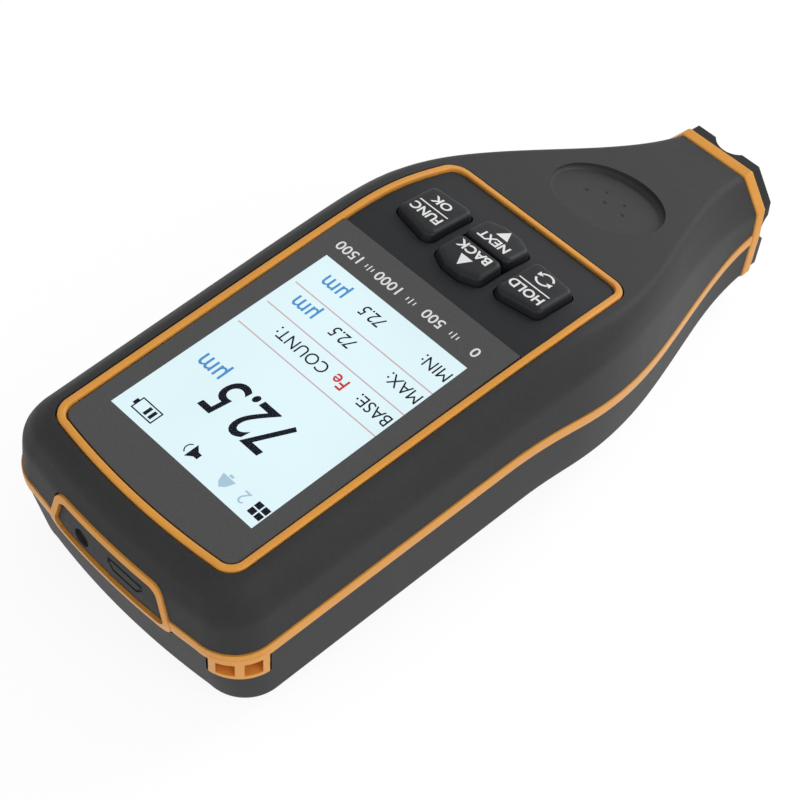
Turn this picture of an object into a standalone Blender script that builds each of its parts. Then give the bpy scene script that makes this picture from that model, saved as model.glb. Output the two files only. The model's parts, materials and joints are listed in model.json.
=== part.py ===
"""Coating thickness gauge: a drooped-neck handheld meter in two bonded skins over two shells.

Sizes are in metres. In the gauge's own frame X is across, Y runs from the foot end to the
nose, and Z is out of the display panel, whose surface is Z = 0. The whole gauge hangs on one
empty, tipped so that it rests on the foot edge of its back and on the underside of its nose.
"""
import math

import bmesh
import bpy
from mathutils import Matrix, Vector

# Clearances
FIT = 0.0003
SLIDE_FIT = 0.0004

# Body: half widths and depths below the panel at the creases of its section
BODY_HALF_WIDTH = 0.0295
BODY_TAPER = 0.0175
TAPER_END = 0.080
CROWN_HALF_WIDTH = 0.0242
CROWN_DEPTH = 0.0003
BEVEL_HALF_WIDTH = 0.0268
BEVEL_DEPTH = 0.0026
SIDE_HALF_WIDTH = 0.0286
SIDE_DEPTH = 0.0059
FOOT_SIDE_DEPTH = 0.0080
PARTING_DEPTH = 0.0152
REAR_HALF_WIDTH = 0.0284
REAR_DEPTH = 0.0318
BACK_HALF_WIDTH = 0.0240
BACK_DEPTH = 0.0358

# Foot end: how far each crease stands in from the foot face, its bulge and its corner radius
FOOT_BULGE = 0.0014
BACK_BULGE = 0.0
CORNER_RADIUS = 0.0085
SIDE_CORNER_RADIUS = 0.0080
BEVEL_CORNER_RADIUS = 0.0070
CROWN_CORNER_RADIUS = 0.0055
CROWN_SETBACK = 0.0044
BEVEL_SETBACK = 0.0021
SIDE_SETBACK = 0.0005
REAR_SETBACK = 0.0030
BACK_SETBACK = 0.0090

# Neck and nose
NECK_START = 0.083
CROWN_NECK_START = 0.093
NECK_END = 0.1570
NOSE_HALF_WIDTH = 0.0134
NOSE_CROWN_HALF_WIDTH = 0.0082
NOSE_CHAMFER_DEPTH = 0.0073
NOSE_PARTING_DEPTH = 0.0375
NOSE_REAR_DEPTH = 0.0490
NOSE_BACK_HALF_WIDTH = 0.0098
NOSE_BACK_DEPTH = 0.0525
RAMP_START = 0.0879
RAMP_BLEND = 0.0095
RAMP_SLOPE = 0.335
PARTING_DROP_START = 0.064
PARTING_DROP_END = 0.1446
REAR_DROP_START = 0.071
REAR_DROP_END = 0.1372

# Walls of the bonded skins and the shells under them
SKIN_WALL = 0.0012
SKIN_SOFTENING = 0.0011
SKIN_SOFT_ANGLE = math.radians(24)
SHELL_WALL = 0.0018
BAND_HEIGHT = 0.0025
BAND_PROUD = 0.0002

# Panel ring, lens and keypad
RING_WIDTH = 0.0014
RING_HALF_WIDTH = 0.02275
RING_TAPER = 0.0125
RING_FOOT_Y = 0.0060
RING_FOOT_BULGE = 0.0013
RING_NOSE_Y = 0.1034
RING_RADIUS = 0.0040
RING_WAIST_START = 0.080
RING_WAIST_CURVE = 3.4
FLOOR_WALL = 0.0014
LENS_END_Y = 0.0744
LENS_RECESS = 0.0006
LENS_THICKNESS = 0.0010
GASKET_THICKNESS = 0.0004
MAT_RECESS = 0.0007

# Display
DISPLAY_FOOT_Y = 0.0166
DISPLAY_LENGTH = 0.0490
DISPLAY_HALF_WIDTH = 0.01745
DISPLAY_MARGIN = 0.0014
LCD_THICKNESS = 0.0018
LCD_FRAME_WALL = 0.0007
LCD_LEG_RADIUS = 0.0016
LCD_LEG_X = 0.0125

# Keys
KEYPAD_Y = 0.0876
KEY_PROUD = 0.0011
KEY_TRAVEL = 0.0007
KEY_RADIUS = 0.0016
KEY_FLANGE = 0.0008
KEY_FLANGE_THICKNESS = 0.0008
SIDE_KEY_X = 0.0127
SIDE_KEY_WIDTH = 0.0098
SIDE_KEY_LENGTH = 0.0122
MIDDLE_KEY_WIDTH = 0.0109
MIDDLE_KEY_LENGTH = 0.0080
MIDDLE_KEY_SPLIT = 0.0006
SLOT_HALF = 0.0020
KEY_POINT = 0.0016
KEY_TIP_SHARE = 0.35

# Main board and what stands on it
BOARD_DEPTH = 0.0094
BOARD_THICKNESS = 0.0012
BOARD_HALF_WIDTH = 0.0160
BOARD_START = 0.0080
BOARD_LENGTH = 0.0935
CHIP_SIZE = 0.0080
CHIP_HEIGHT = 0.0011
CHIP_Y = 0.0440
SWITCH_SIZE = 0.0052
SWITCH_HEIGHT = 0.0012
SWITCH_PLUNGER_RADIUS = 0.0013
SWITCH_PLUNGER_HEIGHT = 0.0004
STEM_RADIUS = 0.0012
STEM_MARGIN = 0.0004
BATTERY_LENGTH = 0.0430
BATTERY_WIDTH = 0.0310
BATTERY_THICKNESS = 0.0080
BATTERY_START = 0.0220
BATTERY_CORNER = 0.0015
PAD_THICKNESS = 0.0008
BUZZER_RADIUS = 0.0060
BUZZER_HEIGHT = 0.0045
BUZZER_Y = 0.0800
SOUND_HOLE_RADIUS = 0.0013
SOUND_HOLE_DEPTH = 0.0012
POST_RADIUS = 0.0021
POST_X = 0.0120
POST_FOOT_Y = 0.0106
POST_NOSE_Y = 0.0985
BOARD_SCREW_RADIUS = 0.0007
BOARD_SCREW_LENGTH = 0.0034
BOARD_SCREW_HEAD = 0.0015
BOARD_SCREW_HEAD_HEIGHT = 0.0009
LEAD_RADIUS = 0.0008

# Charging port and its plug
PORT_DEPTH = 0.0129
PORT_HALF_WIDTH_TOP = 0.0120
PORT_HALF_WIDTH_BOTTOM = 0.0146
PORT_HEIGHT = 0.0090
PORT_FRAME = 0.0013
PORT_RADIUS = 0.0022
PLUG_THICKNESS = 0.0018
PLUG_RECESS = 0.0004
PLUG_BOSS_WIDTH = 0.0048
PLUG_BOSS_HEIGHT = 0.0012
PLUG_BOSS_LENGTH = 0.0026
NOTCH_X = -0.0070
NOTCH_Z = 0.0138
NOTCH_RADIUS = 0.0018
NOTCH_DEPTH = 0.0011
ICON_LINE = 0.0005
ICON_DEPTH = 0.0003
ICON_WIDTH = 0.0084
ICON_HEIGHT = 0.0026
ICON_X = 0.0042
SOCKET_WIDTH = 0.0076
SOCKET_HEIGHT = 0.0027
SOCKET_LENGTH = 0.0052
SOCKET_WALL = 0.0004
SOCKET_SETBACK = 0.0009

# Lanyard eye at the right foot corner
EYE_TURN = -0.66
EYE_WIDTH = 0.0100
EYE_HEIGHT = 0.0060
EYE_FRAME = 0.0011
EYE_BAR = 0.0015
EYE_BAR_THICKNESS = 0.0016
EYE_POCKET = 0.0046

# Nose collar, cap and probe
COLLAR_WIDTH = 0.0026
COLLAR_PROUD = 0.0002
CAP_REACH = 0.0022
CAP_INSET = 0.0005
SCALLOP_RADIUS = 0.0044
SCALLOP_DEPTH = 0.0017
SPIGOT_WALL = 0.0009
SPIGOT_LENGTH = 0.0050
PROBE_DEPTH = 0.0378
GUIDE_RADIUS = 0.0084
GUIDE_WALL = 0.0015
GUIDE_LENGTH = 0.0310
PROBE_RADIUS = 0.0064
PROBE_WALL = 0.0010
PROBE_LENGTH = 0.0200
PROBE_TRAVEL = 0.0025
PROBE_PROUD = 0.0010
TIP_RADIUS = 0.0013
TIP_PROUD = 0.0005
COIL_LENGTH = 0.0110
COIL_RADIUS = 0.0048
SPRING_RADIUS = 0.0045
SPRING_WIRE = 0.0004
SPRING_TURNS = 5

# Thumb dish
DISH_Y = 0.1225
DISH_RADIUS = 0.0117
DISH_DEPTH = 0.0016
DISH_TILT = 0.0620

# Case screws
SCREW_HEAD_RADIUS = 0.0024
SCREW_HEAD_HEIGHT = 0.0014
SCREW_SHANK_RADIUS = 0.0011
SCREW_LENGTH = 0.0120
SCREW_RECESS = 0.0012
BOSS_RADIUS = 0.0030
SCREW_X = 0.0195
SCREW_FOOT_Y = 0.0175
SCREW_NOSE_Y = 0.0740
BOSS_TOP_DEPTH = 0.0062
RIB_WALL = 0.0012

ORANGE = (0.76, 0.33, 0.065, 1.0)
BLACK = (0.050, 0.051, 0.052, 1.0)


def clear_scene():
    """Remove whatever objects the file holds."""
    for item in list(bpy.data.objects):
        bpy.data.objects.remove(item, do_unlink=True)


def collection(name):
    """Make a collection and link it to the scene."""
    made = bpy.data.collections.new(name)
    bpy.context.scene.collection.children.link(made)
    return made


def material(name, colour, roughness, metallic=0.0):
    """Make a Principled material."""
    made = bpy.data.materials.new(name)
    made.use_nodes = True
    shader = made.node_tree.nodes["Principled BSDF"]
    shader.inputs["Base Color"].default_value = colour
    shader.inputs["Roughness"].default_value = roughness
    shader.inputs["Metallic"].default_value = metallic
    return made


def mesh_object(name, mesh, group):
    """Put a mesh in the scene as an object of a collection."""
    made = bpy.data.objects.new(name, mesh)
    group.objects.link(made)
    return made


def evaluated_mesh(item):
    """Return a plain mesh of an object with its modifiers applied and its caps welded."""
    bpy.context.view_layer.update()
    graph = bpy.context.evaluated_depsgraph_get()
    mesh = bpy.data.meshes.new_from_object(item.evaluated_get(graph))
    shape = bmesh.new()
    shape.from_mesh(mesh)
    bmesh.ops.remove_doubles(shape, verts=shape.verts, dist=1e-6)
    shape.to_mesh(mesh)
    shape.free()
    return mesh


def settle(item):
    """Turn an object's modifiers into plain mesh."""
    mesh = evaluated_mesh(item)
    item.modifiers.clear()
    item.data = mesh
    return item


def combine(item, others, operation):
    """Apply one Boolean for each of the other solids, in order."""
    for other in others:
        step = item.modifiers.new(operation.title(), "BOOLEAN")
        step.operation = operation
        step.object = other
        settle(item)
    return item


def cut(item, *others):
    """Take the other solids away."""
    return combine(item, others, "DIFFERENCE")


def join(item, *others):
    """Fuse the other solids on."""
    return combine(item, others, "UNION")


def keep(item, *others):
    """Keep only what lies inside the other solids."""
    return combine(item, others, "INTERSECT")


def smooth_step(value, start, end):
    """Ease from 0 at the start to 1 at the end."""
    share = min(max((value - start) / (end - start), 0.0), 1.0)
    return share * share * (3.0 - 2.0 * share)


def ramp(y):
    """Depth of the panel's surface, which bends down into the neck's straight ramp."""
    along = y - RAMP_START
    return RAMP_SLOPE * (along + math.hypot(along, RAMP_BLEND)) / 2.0


def ramp_tilt(y):
    """Angle of the panel's surface below the display's own plane."""
    along = y - RAMP_START
    return math.atan(RAMP_SLOPE * (1.0 + along / math.hypot(along, RAMP_BLEND)) / 2.0)


def parting_depth(y):
    """Depth of the parting band's centre line."""
    drop = NOSE_PARTING_DEPTH - PARTING_DEPTH
    return PARTING_DEPTH + drop * smooth_step(y, PARTING_DROP_START, PARTING_DROP_END)


def rear_drop(y):
    """Share of the way from the body's back to the nose's underside."""
    return smooth_step(y, REAR_DROP_START, REAR_DROP_END)


def taper(y):
    """How much wider the body is here than at the foot end of the display."""
    return BODY_TAPER * (min(y, TAPER_END) - DISPLAY_FOOT_Y)


def half_width(y, body, nose, neck_start):
    """Half width of one crease of the body's section at a distance from the foot."""
    share = smooth_step(y, neck_start, NECK_END + CAP_REACH)
    return (body + taper(y)) * (1.0 - share) + nose * share


def crease_table():
    """List each crease from the crown down to the back, as functions and foot sizes."""
    chamfer_half = (NOSE_CROWN_HALF_WIDTH + NOSE_HALF_WIDTH) / 2.0

    def crown(y):
        return half_width(y, CROWN_HALF_WIDTH, NOSE_CROWN_HALF_WIDTH, CROWN_NECK_START)

    def bevel(y):
        return half_width(y, BEVEL_HALF_WIDTH, chamfer_half - FIT, (NECK_START + CROWN_NECK_START) / 2)

    def side(y):
        return half_width(y, SIDE_HALF_WIDTH, NOSE_HALF_WIDTH - FIT, NECK_START)

    def parting(y):
        return half_width(y, BODY_HALF_WIDTH, NOSE_HALF_WIDTH, NECK_START)

    def rear(y):
        return half_width(y, REAR_HALF_WIDTH, NOSE_HALF_WIDTH - FIT, NECK_START)

    def back(y):
        return half_width(y, BACK_HALF_WIDTH, NOSE_BACK_HALF_WIDTH, NECK_START)

    def crown_depth(y):
        return ramp(y) + CROWN_DEPTH

    def bevel_depth(y):
        share = smooth_step(y, NECK_START, NECK_END)
        return ramp(y) + BEVEL_DEPTH + (NOSE_CHAMFER_DEPTH / 2.0 - BEVEL_DEPTH) * share

    def side_depth(y):
        foot = (FOOT_SIDE_DEPTH - SIDE_DEPTH) * (1.0 - smooth_step(y, 0.0, CORNER_RADIUS * 2.0))
        nose = (NOSE_CHAMFER_DEPTH - SIDE_DEPTH) * smooth_step(y, NECK_START, NECK_END)
        return ramp(y) + SIDE_DEPTH + foot + nose

    def rear_depth(y):
        return REAR_DEPTH + (NOSE_REAR_DEPTH - REAR_DEPTH) * rear_drop(y)

    def back_depth(y):
        return BACK_DEPTH + (NOSE_BACK_DEPTH - BACK_DEPTH) * rear_drop(y)

    return [
        (crown, crown_depth, CROWN_SETBACK, FOOT_BULGE, CROWN_CORNER_RADIUS),
        (bevel, bevel_depth, BEVEL_SETBACK, FOOT_BULGE, BEVEL_CORNER_RADIUS),
        (side, side_depth, SIDE_SETBACK, FOOT_BULGE, SIDE_CORNER_RADIUS),
        (parting, parting_depth, 0.0, FOOT_BULGE, CORNER_RADIUS),
        (rear, rear_depth, REAR_SETBACK, FOOT_BULGE, SIDE_CORNER_RADIUS),
        (back, back_depth, BACK_SETBACK, BACK_BULGE, CROWN_CORNER_RADIUS),
    ]


FOOT_STEPS = 3
CORNER_STEPS = 5
SIDE_STEPS = 16
SIDE_START = 0.0250


def crease_line(width, depth, setback, bulge, radius, end_y):
    """Trace one crease from the foot's middle, round the corner and up the side."""
    half = width(setback + bulge + radius)
    straight = half - radius
    points = []
    for step in range(FOOT_STEPS):
        share = step / FOOT_STEPS
        points.append((straight * share, setback + bulge * share * share))
    for step in range(CORNER_STEPS):
        turn = math.pi / 2.0 * step / (CORNER_STEPS - 1)
        x = straight + radius * math.sin(turn)
        y = setback + bulge + radius * (1.0 - math.cos(turn))
        points.append((x, y))
    for step in range(SIDE_STEPS + 1):
        y = SIDE_START + (end_y - SIDE_START) * step / SIDE_STEPS
        points.append((width(y), y))
    foot_depth = depth(setback + bulge)
    side_level = depth(SIDE_START)
    corner_end = FOOT_STEPS + CORNER_STEPS - 1
    placed = []
    for index, (x, y) in enumerate(points):
        if index <= corner_end:
            share = smooth_step(index, 0, corner_end)
            level = foot_depth * (1.0 - share) + side_level * share
        else:
            level = depth(y)
        placed.append(Vector((x, y, -level)))
    return placed


def body_solid(name, inset, group, end_y=NECK_END):
    """Loft the body through its creases, then draw its whole surface in by the inset."""
    lines = [crease_line(*crease, end_y) for crease in crease_table()]
    shape = bmesh.new()
    rings = [[shape.verts.new(point) for point in line] for line in lines]
    for upper, lower in zip(rings, rings[1:]):
        for index in range(len(upper) - 1):
            shape.faces.new((upper[index], upper[index + 1], lower[index + 1], lower[index]))
    corner_end = FOOT_STEPS + CORNER_STEPS - 1
    middles = []
    for ring in (rings[0], rings[-1]):
        middle = [shape.verts.new((0.0, vert.co.y, vert.co.z)) for vert in ring[corner_end + 1:]]
        middles.append(middle)
        sides = ring[corner_end + 1:]
        for index in range(len(sides) - 1):
            shape.faces.new((middle[index], middle[index + 1], sides[index + 1], sides[index]))
        shape.faces.new(ring[:corner_end + 2] + [middle[0]])
    end_loop = [middles[0][-1]] + [ring[-1] for ring in rings] + [middles[1][-1]]
    shape.faces.new(end_loop)
    half = list(shape.verts) + list(shape.edges) + list(shape.faces)
    copy = bmesh.ops.duplicate(shape, geom=half)["geom"]
    copied = [item for item in copy if isinstance(item, bmesh.types.BMVert)]
    bmesh.ops.scale(shape, vec=(-1.0, 1.0, 1.0), verts=copied)
    bmesh.ops.remove_doubles(shape, verts=shape.verts, dist=1e-7)
    bmesh.ops.recalc_face_normals(shape, faces=shape.faces)
    if inset:
        shape.normal_update()
        ends = [vert for vert in shape.verts if abs(vert.co.y - end_y) < 1e-6]
        moves = [(vert, vert.normal * inset * vert.calc_shell_factor()) for vert in shape.verts]
        for vert, move in moves:
            vert.co -= move
        for vert in ends:
            vert.co.y = end_y
    mesh = bpy.data.meshes.new(name)
    shape.to_mesh(mesh)
    shape.free()
    return mesh_object(name, mesh, group)


def outline_solid(name, points, low, high, group, holes=()):
    """Extrude a closed outline in X and Y between two heights, with any holes."""
    curve = bpy.data.curves.new(name, "CURVE")
    curve.dimensions = "2D"
    curve.fill_mode = "BOTH"
    curve.extrude = (high - low) / 2.0
    for loop in (points, *holes):
        spline = curve.splines.new("POLY")
        spline.points.add(len(loop) - 1)
        for target, (x, y) in zip(spline.points, loop):
            target.co = (x, y, 0.0, 1.0)
        spline.use_cyclic_u = True
    flat = bpy.data.objects.new(name, curve)
    group.objects.link(flat)
    flat.location.z = (high + low) / 2.0
    mesh = evaluated_mesh(flat)
    mesh.transform(flat.matrix_world)
    bpy.data.objects.remove(flat, do_unlink=True)
    return mesh_object(name, mesh, group)


def side_solid(name, points, half, group):
    """Extrude an outline given in Y and Z equally to both sides of the middle plane."""
    made = outline_solid(name, points, -half, half, group)
    made.data.transform(Matrix(((0, 0, 1, 0), (1, 0, 0, 0), (0, 1, 0, 0), (0, 0, 0, 1))))
    return made


def front_solid(name, points, near, far, group):
    """Extrude an outline given in X and Z from one distance along Y to another."""
    made = outline_solid(name, points, -far, -near, group)
    made.data.transform(Matrix(((1, 0, 0, 0), (0, 0, -1, 0), (0, 1, 0, 0), (0, 0, 0, 1))))
    return made


def box(name, low, high, group):
    """Make a box from its lowest and highest corners."""
    mesh = bpy.data.meshes.new(name)
    shape = bmesh.new()
    size = [b - a for a, b in zip(low, high)]
    middle = [(a + b) / 2.0 for a, b in zip(low, high)]
    bmesh.ops.create_cube(shape, size=1.0, matrix=Matrix.Translation(middle) @ Matrix.Diagonal((*size, 1.0)))
    shape.to_mesh(mesh)
    shape.free()
    return mesh_object(name, mesh, group)


def rod(name, radius, low, high, group, sides=24, axis="Z", top_radius=None):
    """Make a cylinder or cone between two points of one axis."""
    start = Vector(low)
    length = (Vector(high) - start).length
    mesh = bpy.data.meshes.new(name)
    shape = bmesh.new()
    far = radius if top_radius is None else top_radius
    bmesh.ops.create_cone(shape, cap_ends=True, segments=sides, radius1=radius, radius2=far, depth=length)
    turn = {"Z": Matrix.Identity(4), "Y": Matrix.Rotation(-math.pi / 2.0, 4, "X")}[axis]
    middle = (start + Vector(high)) / 2.0
    bmesh.ops.transform(shape, matrix=Matrix.Translation(middle) @ turn, verts=shape.verts)
    shape.to_mesh(mesh)
    shape.free()
    return mesh_object(name, mesh, group)


def offset_outline(points, distance):
    """Move a closed outline outwards by a distance, or inwards when it is negative."""
    count = len(points)
    area = sum(points[i - 1][0] * points[i][1] - points[i][0] * points[i - 1][1] for i in range(count))
    facing = 1.0 if area > 0.0 else -1.0
    moved = []
    for index in range(count):
        before = Vector(points[index - 1])
        here = Vector(points[index])
        after = Vector(points[(index + 1) % count])
        first = (here - before).normalized()
        second = (after - here).normalized()
        normal_a = Vector((first.y, -first.x)) * facing
        normal_b = Vector((second.y, -second.x)) * facing
        mitre = (normal_a + normal_b).normalized()
        reach = distance / max(mitre.dot(normal_a), 0.3)
        moved.append(tuple(here + mitre * reach))
    return moved


def rounded_outline(corners, radius, steps=4):
    """Round the corners of a polygon with arcs."""
    points = []
    count = len(corners)
    for index in range(count):
        here = Vector(corners[index])
        to_before = (Vector(corners[index - 1]) - here).normalized()
        to_after = (Vector(corners[(index + 1) % count]) - here).normalized()
        half_angle = to_before.angle(to_after) / 2.0
        reach = radius / math.tan(half_angle)
        centre = here + (to_before + to_after).normalized() * radius / math.sin(half_angle)
        start = here + to_before * reach - centre
        sweep = start.angle_signed(here + to_after * reach - centre)
        for step in range(steps + 1):
            turn = Matrix.Rotation(-sweep * step / steps, 2)
            points.append(tuple(centre + turn @ start))
    return points


def ring_half(y):
    """Half width of the orange ring's outer edge."""
    widening = RING_TAPER * (min(y, RING_WAIST_START) - DISPLAY_FOOT_Y)
    waist = RING_WAIST_CURVE * max(y - RING_WAIST_START, 0.0) ** 2
    return RING_HALF_WIDTH + widening - waist


def ring_outline():
    """Trace the orange ring's outer edge, with a bulged foot edge and drawn-in nose corners."""
    right = []
    half = ring_half(RING_FOOT_Y)
    straight = half - RING_RADIUS
    for step in range(4):
        share = step / 4.0
        right.append((straight * share, RING_FOOT_Y + RING_FOOT_BULGE * share * share))
    for step in range(5):
        turn = math.pi / 2.0 * step / 4.0
        y = RING_FOOT_Y + RING_FOOT_BULGE + RING_RADIUS * (1.0 - math.cos(turn))
        right.append((straight + RING_RADIUS * math.sin(turn), y))
    shoulder = RING_NOSE_Y - RING_RADIUS
    right.append((ring_half(TAPER_END), TAPER_END))
    for step in range(1, 4):
        y = TAPER_END + (shoulder - TAPER_END) * step / 4.0
        right.append((ring_half(y), y))
    half = ring_half(shoulder)
    for step in range(5):
        turn = math.pi / 2.0 * step / 4.0
        x = half - RING_RADIUS * (1.0 - math.cos(turn))
        right.append((x, shoulder + RING_RADIUS * math.sin(turn)))
    left = [(-x, y) for x, y in reversed(right[1:])]
    return right + left


def ramp_strip(top, bottom, start, end, steps=22):
    """Outline in Y and Z of a layer that follows the panel's surface between two depths."""
    along = [start + (end - start) * step / steps for step in range(steps + 1)]
    upper = [(y, -(ramp(y) + top)) for y in along]
    lower = [(y, -(ramp(y) + bottom)) for y in reversed(along)]
    return upper + lower


def panel_layer(name, outline, top, bottom, group, guides):
    """Make a layer of the panel: an outline's prism kept between two followed depths."""
    made = outline_solid(name, outline, -0.03, 0.01, group)
    low = min(y for x, y in outline) - 0.002
    high = max(y for x, y in outline) + 0.002
    strip = side_solid(name + "_strip", ramp_strip(top, bottom, low, high), BODY_HALF_WIDTH, guides)
    keep(made, strip)
    return made


def half_space(name, offset, above, group):
    """Solid on one side of the parting surface, moved down by the offset."""
    reach = 0.09
    along = [-0.02 + 0.21 * step / 30 for step in range(31)]
    edge = [(y, -(parting_depth(y) + offset)) for y in along]
    limit = reach if above else -reach
    return side_solid(name, edge + [(along[-1], limit), (along[0], limit)], 0.05, group)


def nose_section(inset):
    """Outline in X and Z of the body's section at the end of the neck."""
    right = [(width(NECK_END), -depth(NECK_END)) for width, depth, *_ in crease_table()]
    del right[1]
    left = [(-x, z) for x, z in reversed(right)]
    return offset_outline(right + left, -inset)


def cutter(item):
    """Mark a solid as a cutter."""
    item.hide_render = True
    item.display_type = "WIRE"
    return item


def finish(item, dressing, smooth_angle=0.6):
    """Give a piece its material and shade its round faces smooth."""
    item.data.materials.clear()
    item.data.materials.append(dressing)
    item.data.shade_smooth()
    item.data.set_sharp_from_angle(angle=smooth_angle)
    return item


def port_corners(grow):
    """Corners in X and Z of the port frame's opening, grown by a distance."""
    top = -(PORT_DEPTH - PORT_HEIGHT / 2.0)
    bottom = -(PORT_DEPTH + PORT_HEIGHT / 2.0)
    corners = [
        (-PORT_HALF_WIDTH_TOP, top),
        (PORT_HALF_WIDTH_TOP, top),
        (PORT_HALF_WIDTH_BOTTOM, bottom),
        (-PORT_HALF_WIDTH_BOTTOM, bottom),
    ]
    return rounded_outline(offset_outline(corners, grow), PORT_RADIUS + grow * 0.5, 4)


def key_corners(kind):
    """Corners in X and Y of a key's top about the keypad's centre."""
    if kind in ("menu", "record"):
        side = -1.0 if kind == "menu" else 1.0
        centre = side * SIDE_KEY_X
        half = SIDE_KEY_WIDTH / 2.0
        nose = SIDE_KEY_LENGTH / 2.0
        outer = centre + side * half
        inner = centre - side * half
        return [
            (inner, nose),
            (outer, nose - KEY_POINT * 0.5),
            (outer, -nose + KEY_POINT),
            (inner + side * KEY_POINT, -nose),
            (inner, -nose + KEY_POINT * 0.5),
        ]
    half = MIDDLE_KEY_WIDTH / 2.0
    near = MIDDLE_KEY_SPLIT / 2.0
    far = near + MIDDLE_KEY_LENGTH
    side = 1.0 if kind == "up" else -1.0
    return [
        (-half, side * near),
        (half, side * near),
        (half, side * (far - KEY_POINT)),
        (half * KEY_TIP_SHARE, side * far),
        (-half * KEY_TIP_SHARE, side * far),
        (-half, side * (far - KEY_POINT)),
    ]


KEY_KINDS = ("menu", "down", "up", "record")


def key_centre(kind):
    """Middle of a key's stem in X and Y about the keypad's centre."""
    if kind == "menu":
        return (-SIDE_KEY_X, 0.0)
    if kind == "record":
        return (SIDE_KEY_X, 0.0)
    reach = (MIDDLE_KEY_SPLIT + MIDDLE_KEY_LENGTH) / 2.0
    return (0.0, reach if kind == "up" else -reach)


def eye_solids(group, clearance):
    """Make the lanyard eye's block on the foot corner, and the notch it needs in the skin."""
    corner = BODY_HALF_WIDTH - CORNER_RADIUS
    face = CORNER_RADIUS
    top = -(PARTING_DEPTH + BAND_HEIGHT / 2.0)
    place = Matrix.Translation((corner, FOOT_BULGE + CORNER_RADIUS, 0.0)) @ Matrix.Rotation(EYE_TURN, 4, "Z")
    half = EYE_WIDTH / 2.0
    low = top - EYE_HEIGHT
    inner = face - EYE_POCKET - EYE_FRAME
    block = box("eye_block", (inner, -half, low), (face + 0.004, half, top + BAND_HEIGHT / 2.0), group)
    notch = box(
        "eye_notch",
        (inner - clearance, -half - clearance, low - clearance),
        (face + 0.004, half + clearance, top + BAND_HEIGHT),
        group,
    )
    block.data.transform(place)
    notch.data.transform(place)
    return place, block, notch


def eye_openings(place, group):
    """Make the strap's passage: a slot each side of the bar, joined behind it."""
    top = -(PARTING_DEPTH + BAND_HEIGHT / 2.0) - EYE_FRAME * 0.4
    low = -(PARTING_DEPTH + BAND_HEIGHT / 2.0) - EYE_HEIGHT + EYE_FRAME
    half = EYE_WIDTH / 2.0 - EYE_FRAME
    back = CORNER_RADIUS - EYE_POCKET
    made = []
    for side in (-1.0, 1.0):
        spans = sorted((side * EYE_BAR / 2.0, side * half))
        made.append(box("slot", (back, spans[0], low), (CORNER_RADIUS + 0.006, spans[1], top), group))
    made.append(box("passage", (back, -half, low), (CORNER_RADIUS - EYE_BAR_THICKNESS, half, top), group))
    for item in made:
        item.data.transform(place)
    return made


def icon_groove(group):
    """Make the cutter for the plug's sunk outline of a charging connector."""
    z = -PORT_DEPTH
    half = ICON_WIDTH / 2.0
    high = ICON_HEIGHT / 2.0
    corners = [
        (ICON_X - half * 0.7, z - high),
        (ICON_X + half * 0.7, z - high),
        (ICON_X + half, z),
        (ICON_X + half, z + high),
        (ICON_X - half, z + high),
        (ICON_X - half, z),
    ]
    groove = front_solid("icon_groove", corners, -0.01, 0.012, group)
    cut(groove, front_solid("icon_core", offset_outline(corners, -ICON_LINE), -0.02, 0.02, group))
    cut(groove, body_solid("icon_floor", PLUG_RECESS + ICON_DEPTH, group, NECK_END))
    return groove


def coil_spring(name, start, end, axis_z, group):
    """Sweep a compression spring along the probe's axis."""
    steps = SPRING_TURNS * 12
    curve = bpy.data.curves.new(name, "CURVE")
    curve.dimensions = "3D"
    curve.bevel_depth = SPRING_WIRE
    curve.bevel_resolution = 0
    curve.use_fill_caps = True
    spline = curve.splines.new("POLY")
    spline.points.add(steps)
    for index, point in enumerate(spline.points):
        turn = 2.0 * math.pi * SPRING_TURNS * index / steps
        along = start + (end - start) * index / steps
        x = SPRING_RADIUS * math.cos(turn)
        point.co = (x, along, axis_z + SPRING_RADIUS * math.sin(turn), 1.0)
    swept = bpy.data.objects.new(name, curve)
    group.objects.link(swept)
    mesh = evaluated_mesh(swept)
    bpy.data.objects.remove(swept, do_unlink=True)
    return mesh_object(name, mesh, group)


def lead_tube(name, board_low, guide_start, axis_z, group):
    """Sweep the probe's lead from the board's nose end to the guide's rear."""
    start = Vector((0.0, BOARD_START + BOARD_LENGTH - 0.003, -board_low - FIT - LEAD_RADIUS))
    end = Vector((0.0, guide_start - FIT, axis_z))
    first = start + Vector((0.0, 0.012, -0.002))
    second = end - Vector((0.0, 0.014, 0.0))
    steps = 16
    curve = bpy.data.curves.new(name, "CURVE")
    curve.dimensions = "3D"
    curve.bevel_depth = LEAD_RADIUS
    curve.bevel_resolution = 1
    curve.use_fill_caps = True
    spline = curve.splines.new("POLY")
    spline.points.add(steps)
    for index, point in enumerate(spline.points):
        t = index / steps
        near = start * (1 - t) ** 3 + first * 3 * t * (1 - t) ** 2
        far = second * 3 * t * t * (1 - t) + end * t ** 3
        point.co = (*(near + far), 1.0)
    swept = bpy.data.objects.new(name, curve)
    group.objects.link(swept)
    mesh = evaluated_mesh(swept)
    bpy.data.objects.remove(swept, do_unlink=True)
    return mesh_object(name, mesh, group)


def rest_tilt():
    """Angle at which the gauge lies on its foot edge and the underside of its nose."""
    foot = BACK_SETBACK
    samples = [NECK_START + (NECK_END - NECK_START) * step / 60 for step in range(61)]
    drop = NOSE_BACK_DEPTH - BACK_DEPTH
    return max(math.atan2(drop * rear_drop(y), y - foot) for y in samples)


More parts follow.
